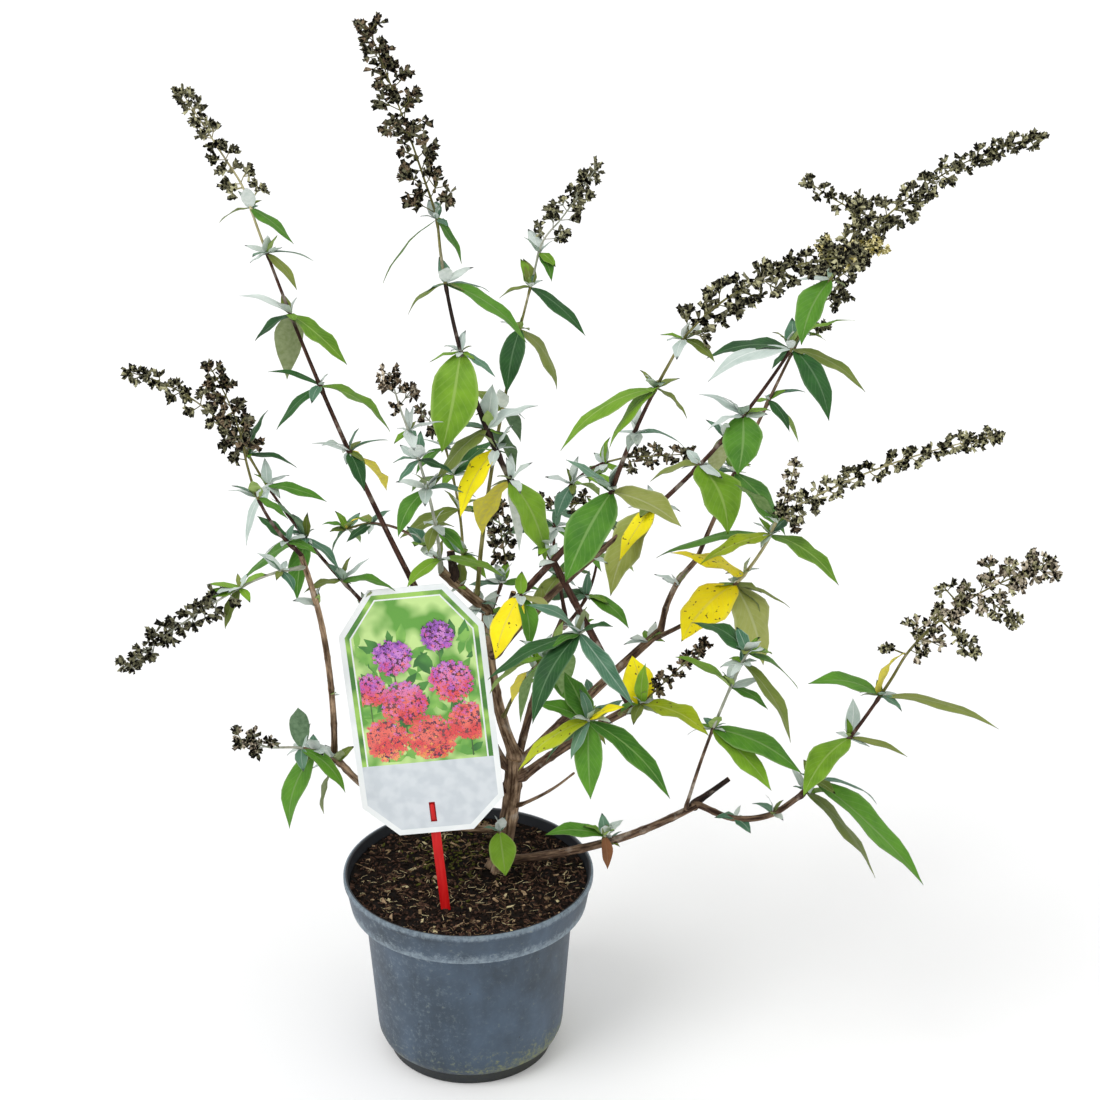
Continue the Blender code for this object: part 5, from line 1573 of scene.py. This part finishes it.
@dataclass
class Soil:
    """The potting soil: a lumpy bed with peat crumbs, bark chips, straw, roots and a little moss."""

    pot: Pot
    heap: float = 0.0050
    lump: float = 0.0045
    lump_size: float = 0.010
    crumbs: int = 3200
    chips: int = 260
    large_chips: int = 20
    roots: int = 420
    clear_of_trunk: float = 0.012
    edge: float = 0.006
    drop_height: float = 0.2
    moss: tuple[float, float] = (-0.012, 0.038)
    moss_reach: float = 0.028
    # Length, width and height in millimetres of crumbs, chips and large chips
    sizes: tuple = (((0.7, 3.2), (0.4, 1.3), (0.3, 0.9)), ((1.4, 5.2), (0.6, 2.0), (0.2, 0.5)),
                    ((4.0, 6.5), (1.6, 2.6), (0.5, 0.9)))

    def bed(self) -> bpy.types.Object:
        """Make the lumpy bed that fills the pot.

        Returns:
            The bed's piece, which stands for the solid soil.
        """
        filling = [ring for ring in self.pot.bore(GAP) if ring[1] < SOIL_TOP][::-1]
        top = filling[-1][0] + (SOIL_TOP + self.heap - filling[-1][1]) * 0.17
        heaped = [(top * share, SOIL_TOP + self.heap * share ** 3) for share in np.linspace(1.0, 0.03, 40)]
        bed = lathe(filling + heaped, 150, "soil_bed")
        group = bed.vertex_groups.new(name="top")
        for vert in bed.data.vertices:
            level = vert.co.xy.length
            if vert.co.z > SOIL_TOP - 0.0001:
                away = (vert.co.xy - TRUNK_FOOT.xy).length
                share = min(1.0, 0.15 + (top - level) / 0.006) * min(1.0, max(0.25, away / 0.02 - 0.4))
                group.add([vert.index], share, "REPLACE")
        for index, size in enumerate((self.lump_size, self.lump_size * 0.35)):
            texture = bpy.data.textures.new(f"soil lumps {index}", "CLOUDS")
            texture.noise_scale = size
            texture.noise_depth = 3
            apply_modifier(bed, "DISPLACE", texture=texture, texture_coords="LOCAL", direction="Z",
                           mid_level=0.5, strength=self.lump / (index + 1), vertex_group="top")
        smooth_by_angle(bed, 60)
        finish = Crumb("damp peat", "#060403", "#1b120c", 2.2).build()
        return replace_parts(dress(bed, "potting_soil", finish), "soil")

    def build(self) -> None:
        """Make the bed and the joined crumbs that lie on it."""
        bed = self.bed()
        kinds = (("peat crumb", "#0b0705", "#2e1f16", 1.0), ("bark chip", "#22160e", "#64483a", 1.0),
                 ("pale bark chip", "#80664c", "#bda383", 1.5), ("straw", "#a3946c", "#dccfa6", 1.0),
                 ("moss", "#33360f", "#63652a", 0.8), ("dead root", "#5a4736", "#97805f", 1.0))
        batch = Batch([Crumb(*kind).build() for kind in kinds])
        rng = random.Random("soil")
        box = [[0, 3, 2, 1], [4, 5, 6, 7], [0, 1, 5, 4], [1, 2, 6, 5], [2, 3, 7, 6], [3, 0, 4, 7]]
        corners = ((-1, -1), (1, -1), (1, 1), (-1, 1))
        signs = np.array([(*corner, high) for high in (-1, 1) for corner in corners], float)
        reach = self.pot.rim_radius - self.edge
        for index in range(self.crumbs + self.chips + self.large_chips):
            spot, place = self.drop(bed, reach, rng)
            if place is None or (spot.xy - TRUNK_FOOT.xy).length < self.clear_of_trunk:
                continue
            kind = (index >= self.crumbs) + (index >= self.crumbs + self.chips)
            size = np.array([rng.uniform(*span) for span in self.sizes[kind]]) * MM
            if kind == 0:
                away = (spot.x - self.moss[0]) ** 2 + (spot.y - self.moss[1]) ** 2
                mossy = math.exp(-away / self.moss_reach ** 2)
                look = 4 if rng.random() < mossy * 0.7 else 0 if rng.random() < 0.62 else 1
            else:
                look = 2 if kind == 2 else rng.choice((1, 1, 2, 5, 5, 3))
            turn = (Matrix.Rotation(rng.uniform(0, 2 * math.pi), 3, "Z")
                    @ Matrix.Rotation(rng.gauss(0, 0.35), 3, "X"))
            turn = turn @ Matrix.Rotation(rng.gauss(0, 0.30), 3, "Y")
            shape = signs * size * np.array([[rng.uniform(0.45, 1.0) for _ in range(3)] for _ in range(8)])
            batch.add(shape @ np.array(turn).T + np.array(place + Vector((0, 0, size[2] * 0.6))), box, look)
        for _ in range(self.roots):
            _, place = self.drop(bed, reach - self.edge, rng)
            if place is None:
                continue
            heading, bend, points = rng.uniform(0, 360), rng.gauss(0, 20), [np.array(place) + (0, 0, 0.0010)]
            for _ in range(4):
                heading += bend
                step = np.array(direction(heading, rng.uniform(-8, 12))) * rng.uniform(0.001, 0.0026)
                points.append(points[-1] + step)
            corners, faces, grain = tube(np.array(points), np.full(5, rng.uniform(0.00012, 0.00030)), 4)
            batch.add(corners, faces, rng.choice((5, 5, 5, 1, 1, 3, 2, 3)), grain)
        batch.piece("soil_crumbs", "potting_soil", smooth=False)

    def drop(self, bed: bpy.types.Object, reach: float, rng: random.Random) -> tuple[Vector, Vector | None]:
        """Drop a piece on the bed.

        Args:
            bed: The bed.
            reach: How far from the pot's axis it may fall.
            rng: The soil's own random numbers.

        Returns:
            Where it starts, and where it lands if it meets the bed.
        """
        spread, angle = reach * math.sqrt(rng.random()), rng.uniform(0, 2 * math.pi)
        spot = Vector((spread * math.cos(angle), spread * math.sin(angle), self.drop_height))
        hit, place, _, _ = bed.ray_cast(spot, Vector((0, 0, -1)))
        return spot, place if hit else None


@dataclass
class Label:
    """The picture card on its red stick."""

    slot_centre: Vector = field(default_factory=lambda: Vector((-0.0242, -0.0315, 0.2200)))
    roll: float = math.radians(-5.8)
    tilt: float = math.radians(-5.0)
    width: float = 0.105
    height: float = 0.193
    corner: float = 0.025
    top_cut: float = 0.033
    bottom_cut: float = 0.0245
    thickness: float = 0.0008
    slot_above_edge: float = 0.0165
    slot_offset: float = 0.001
    slot_size: tuple[float, float] = (0.0046, 0.016)
    border: float = 0.0042
    line_inset: float = 0.0034
    line: float = 0.0011
    picture_foot: float = 0.0405
    stick_width: float = 0.007
    stick_thickness: float = 0.0022
    stick_groove: tuple[float, float] = (0.0020, 0.0008)
    stick_below: float = 0.140
    stick_above: float = 0.012
    stick_point: float = 0.014
    hook: tuple[float, float] = (0.0032, 0.013)
    hook_reach: float = 0.0012
    back_ink: int = 5
    eye: float = 0.00035

    def place(self) -> Matrix:
        """The label's own frame: its origin in the slot, X across the card, -Y its face and Z along it."""
        return (Matrix.Translation(self.slot_centre) @ Matrix.Rotation(self.roll, 4, "Y")
                @ Matrix.Rotation(self.tilt, 4, "X"))

    def build(self) -> None:
        """Make card, print and stick."""
        self.card()
        self.print()
        self.stick()

    def card(self) -> None:
        """Make the card, an octagon: white border, thin white line, picture field and grey foot."""
        low, face = -self.slot_above_edge, -self.thickness / 2
        middle = (self.slot_offset, face, low + self.height / 2)
        bpy.ops.mesh.primitive_plane_add(size=1.0, location=(0, 0, 0), rotation=(math.pi / 2, 0, 0))
        card = bpy.context.object
        card.name = "label_print_card"
        bpy.ops.object.transform_apply(location=False, rotation=True, scale=False)
        edit_all()
        bpy.ops.transform.resize(value=(self.width, 1, self.height), center_override=(0, 0, 0))
        bpy.ops.transform.translate(value=middle)
        for right in (-1, 1):
            for high, up in ((-1, self.bottom_cut), (1, self.top_cut)):
                bpy.ops.mesh.select_all(action="SELECT")
                cut = (middle[0] + right * self.width / 2, 0, middle[2] + high * (self.height / 2 - up))
                bpy.ops.mesh.bisect(plane_co=cut, plane_no=(right * up, 0, high * self.corner),
                                    clear_outer=True)
        bpy.ops.mesh.select_all(action="SELECT")
        for width in (self.border, self.line_inset, self.line):
            bpy.ops.mesh.inset(thickness=width)
        bpy.ops.mesh.select_all(action="SELECT")
        bpy.ops.mesh.bisect(plane_co=(0, 0, self.picture_foot), plane_no=(0, 0, 1))
        bpy.ops.object.mode_set(mode="OBJECT")
        for polygon in card.data.polygons:
            centre = polygon.center - Vector(middle)
            polygon.material_index = self.zone(centre.x, centre.z, polygon.center.z)
        if card.data.polygons[0].normal.y > 0:
            card.data.flip_normals()
        apply_modifier(card, "SOLIDIFY", thickness=self.thickness, offset=-1.0)
        bpy.ops.mesh.primitive_cube_add(size=1.0, location=(0, 0, 0),
                                        scale=(self.slot_size[0], 0.02, self.slot_size[1]))
        combine(card, bpy.context.object, "DIFFERENCE")
        for polygon in card.data.polygons:
            if polygon.normal.y > -0.5:
                polygon.material_index = self.back_ink
        card.data.transform(self.place())
        white = ("white coated card", "#eef1f1", "#e4e9ea", 12.0)
        inks = (white, ("green print", "#3f7a2c", "#9cc95c", 9.0), white,
                ("light green print", "#5f9d38", "#c2e190", 10.0),
                ("grey print", "#c6cdd3", "#d2d8dd", 5.0), ("card back", "#dfe3e4", "#eceeee", 9.0))
        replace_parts(dress(card, "label_print", *(Ink(*ink).build() for ink in inks)), "label_card")

    def zone(self, across: float, up: float, height: float) -> int:
        """Which print a face of the card has, from its middle: border, edge, line, picture or foot."""
        half_wide, half_high = self.width / 2, self.height / 2
        cut = self.top_cut if up > 0 else self.bottom_cut
        aslant = (half_wide - abs(across)) * cut + (half_high - abs(up)) * self.corner - self.corner * cut
        inward = min(half_wide - abs(across), half_high - abs(up), aslant / math.hypot(self.corner, cut))
        if inward < self.border:
            return 0
        if height < self.picture_foot:
            return 4
        if inward < self.border + self.line_inset:
            return 1
        return 2 if inward < self.border + self.line_inset + self.line else 3

    def print(self) -> None:
        """Make the picture's print: round heads of little flowers over leaves, as thin inked shapes."""
        inks = (("dark leaf print", "#2f6a2c", "#4b8a3a"), ("leaf print", "#5d9c3f", "#86bb55"),
                ("plum print", "#4b2152", "#6c3777"), ("violet print", "#8b4bab", "#a765c4"),
                ("orchid print", "#b65fc0", "#cf86cf"), ("pink print", "#d4528f", "#e27aa8"),
                ("coral print", "#de4b4d", "#ec7466"), ("orange print", "#e27c45", "#efa562"),
                ("stalk print", "#3c5c2a", "#587a3c"), ("shade print", "#5a2f4a", "#7c4a4e", 8.0))
        batch = Batch([Ink(*ink).build() for ink in inks])
        rng = random.Random("print")
        face = -self.thickness / 2
        foot, top = self.picture_foot + 0.002, self.height - self.slot_above_edge - 0.010
        left, right = self.slot_offset - self.width / 2 + 0.0105, self.slot_offset + self.width / 2 - 0.0105
        layer = 0.0

        def shape(points: list[tuple[float, float]], look: int) -> None:
            """Lay one inked shape on the picture, a hair above the last and inside the white line."""
            nonlocal layer
            layer += 0.0000002
            ring = np.array([(min(max(x, left), right), face - 0.00004 - layer, min(max(z, foot), top))
                             for x, z in points])
            batch.add(ring, [list(range(len(points)))], look)

        def leaf(x: float, z: float, angle: float, length: float, look: int) -> None:
            """Lay one simple leaf."""
            way = np.array((math.cos(angle), math.sin(angle)))
            side = np.array((-way[1], way[0])) * length * 0.19
            at = np.array((x, z))
            shape([tuple(point) for point in (
                at, at + way * length * 0.3 - side * 0.9, at + way * length * 0.6 - side, at + way * length,
                at + way * length * 0.6 + side, at + way * length * 0.3 + side * 0.9)], look)

        for _ in range(110):
            x, z = rng.uniform(left, right), rng.uniform(foot, top - 0.03)
            if abs(x - self.slot_offset) < (right - left) / 2 - max(0.0, z - top + 0.034) * 0.8:
                leaf(x, z, rng.uniform(0.2, 2.9), rng.uniform(0.010, 0.021), rng.choice((0, 0, 1, 1, 1)))
        heads = ((-0.028, 0.060, 0.0165), (0.006, 0.059, 0.0175), (0.034, 0.070, 0.0150),
                 (-0.012, 0.088, 0.0170), (-0.036, 0.100, 0.0125), (0.024, 0.102, 0.0160),
                 (-0.016, 0.124, 0.0140), (0.018, 0.138, 0.0115))
        for x, z, radius in heads:
            x += self.slot_offset
            low = max(foot, z - radius * 2)
            shape([(x - 0.0005, low), (x + 0.0005, low), (x + 0.0004, z), (x - 0.0004, z)], 8)
            shape([(x + radius * rng.uniform(0.72, 0.95) * math.cos(turn),
                    z + radius * rng.uniform(0.72, 0.95) * math.sin(turn))
                   for turn in np.linspace(0, 2 * math.pi, 24, endpoint=False)], 9)
        for x, z, radius in heads:
            ramp = (z - foot) / (top - foot)
            for _ in range(int(300 * (radius / 0.015) ** 2)):
                spread, angle = radius * math.sqrt(rng.random()), rng.uniform(0, 2 * math.pi)
                cx, cz = x + self.slot_offset + spread * math.cos(angle), z + spread * math.sin(angle)
                tone = ramp * 5.2 + (cz - z) / radius * 0.9 + rng.gauss(0, 0.55)
                look = (7, 6, 6, 5, 4, 3, 2)[min(6, max(0, round(tone + 0.6)))]
                size, turn = rng.uniform(0.0013, 0.0021), rng.uniform(0, 1.6)
                petals = []
                for petal in range(8):
                    length = size * (1.0 if petal % 2 == 0 else 0.42)
                    angle = turn + petal * math.pi / 4
                    petals.append((cx + length * math.cos(angle), cz + length * math.sin(angle)))
                shape(petals, look)
                if rng.random() < 0.5:
                    shape([(cx + self.eye * math.cos(turn + side * 1.571),
                            cz + self.eye * math.sin(turn + side * 1.571)) for side in range(4)], 2)
        batch.piece("label_print_picture", "label_print", smooth=False).data.transform(self.place())

    def stick(self) -> None:
        """Make the stick: a strip with a groove in its face, a point below, and the hook through the slot."""
        back, deep = self.thickness / 2 + GAP, self.stick_thickness
        length = self.stick_below + self.stick_above
        bpy.ops.mesh.primitive_cube_add(size=1.0,
                                        location=(0, back + deep / 2, self.stick_above - length / 2),
                                        scale=(self.stick_width, deep, length))
        stick = bpy.context.object
        stick.name = "label_stick_plastic"
        bpy.ops.object.transform_apply(location=True, rotation=False, scale=True)
        edit_all()
        bpy.ops.mesh.bisect(plane_co=(0, 0, self.stick_point - self.stick_below), plane_no=(0, 0, 1))
        bpy.ops.object.mode_set(mode="OBJECT")
        for vert in stick.data.vertices:
            vert.select = vert.co.z < 0.001 - self.stick_below
        for edge in stick.data.edges:
            edge.select = all(stick.data.vertices[index].select for index in edge.vertices)
        for polygon in stick.data.polygons:
            polygon.select = polygon.normal.z < -0.9
        bpy.ops.object.mode_set(mode="EDIT")
        bpy.ops.transform.resize(value=(0.12, 1, 1), center_override=(0, 0, -self.stick_below))
        leave_edit()
        for polygon in stick.data.polygons:
            above = polygon.center.z > self.stick_point - self.stick_below
            polygon.select = polygon.normal.y < -0.9 and above
        bpy.ops.object.mode_set(mode="EDIT")
        width, depth = self.stick_groove
        bpy.ops.mesh.inset(thickness=width)
        bpy.ops.transform.translate(value=(0, depth, 0))
        leave_edit()
        bevel(stick, 0.0003, 2, 40)
        wide, tall = self.hook
        front, end = -self.thickness / 2 - self.hook_reach, back + deep * 0.7
        bpy.ops.mesh.primitive_cube_add(size=1.0, location=(0, (front + end) / 2, 0),
                                        scale=(wide, end - front, tall))
        hook = bpy.context.object
        bpy.ops.object.transform_apply(location=True, rotation=False, scale=True)
        bevel(hook, 0.0014, 4, 40)
        combine(stick, hook, "UNION")
        stick.data.transform(self.place())
        smooth_by_angle(stick, 35)
        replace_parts(dress(stick, "stick_plastic", StickPlastic().build()), "label_stick")


@dataclass
class Studio:
    """A pale floor, soft light and the camera."""

    camera_place: tuple[float, float, float] = (0.062, -1.5527, 1.0983)
    look_down: float = 23.7
    sensor: float = 36.0
    lens: float = 77.56
    floor_size: float = 160.0
    sky: float = 0.80
    suns: tuple[tuple[str, float, float, float, float], ...] = (("key", -140.0, 52.0, 1.35, 34.0),
                                                               ("fill", -40.0, 40.0, 0.35, 60.0))

    def build(self) -> None:
        """Set up the studio."""
        scene = bpy.context.scene
        scene.view_settings.view_transform = "Standard"
        data = bpy.data.cameras.new("camera")
        data.sensor_width, data.lens = self.sensor, self.lens
        camera = bpy.data.objects.new("camera", data)
        camera.location = self.camera_place
        camera.rotation_euler = (math.radians(90 - self.look_down), 0.0, 0.0)
        scene.collection.objects.link(camera)
        scene.camera = camera
        world = bpy.data.worlds.new("studio")
        world.use_nodes = True
        backdrop = world.node_tree.nodes["Background"]
        backdrop.inputs["Color"].default_value = linear("#ffffff")
        backdrop.inputs["Strength"].default_value = self.sky
        scene.world = world
        for name, heading, rise, power, softness in self.suns:
            sun = bpy.data.lights.new(name, "SUN")
            sun.energy, sun.angle = power, math.radians(softness)
            light = bpy.data.objects.new(name, sun)
            light.location = direction(heading, rise) * 2.5
            light.rotation_euler = direction(heading, rise).to_track_quat("Z", "Y").to_euler()
            scene.collection.objects.link(light)
        bpy.ops.mesh.primitive_plane_add(size=self.floor_size, location=(0.0, 2.0, 0.0))
        floor = bpy.context.object
        floor.name = "studio_floor"
        bpy.ops.object.transform_apply(location=True, rotation=False, scale=True)
        material, _ = new_material("matt white studio board", 0.95)
        material.node_tree.nodes[PRINCIPLED].inputs["Base Color"].default_value = linear("#f7f7f7")
        floor.data.materials.append(material)
        LOG.info("studio: %d suns", len(self.suns))


def main() -> None:
    """Build the pieces in order and note the sizes."""
    logging.basicConfig(level=logging.INFO, format="%(message)s")
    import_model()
    bpy.ops.object.select_all(action="DESELECT")
    Studio().build()
    pot = Pot()
    pot.build()
    Soil(pot).build()
    Label().build()
    wood = Wood()
    wood.build()
    Foliage(wood).build()
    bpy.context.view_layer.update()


if __name__ == "__main__":
    main()
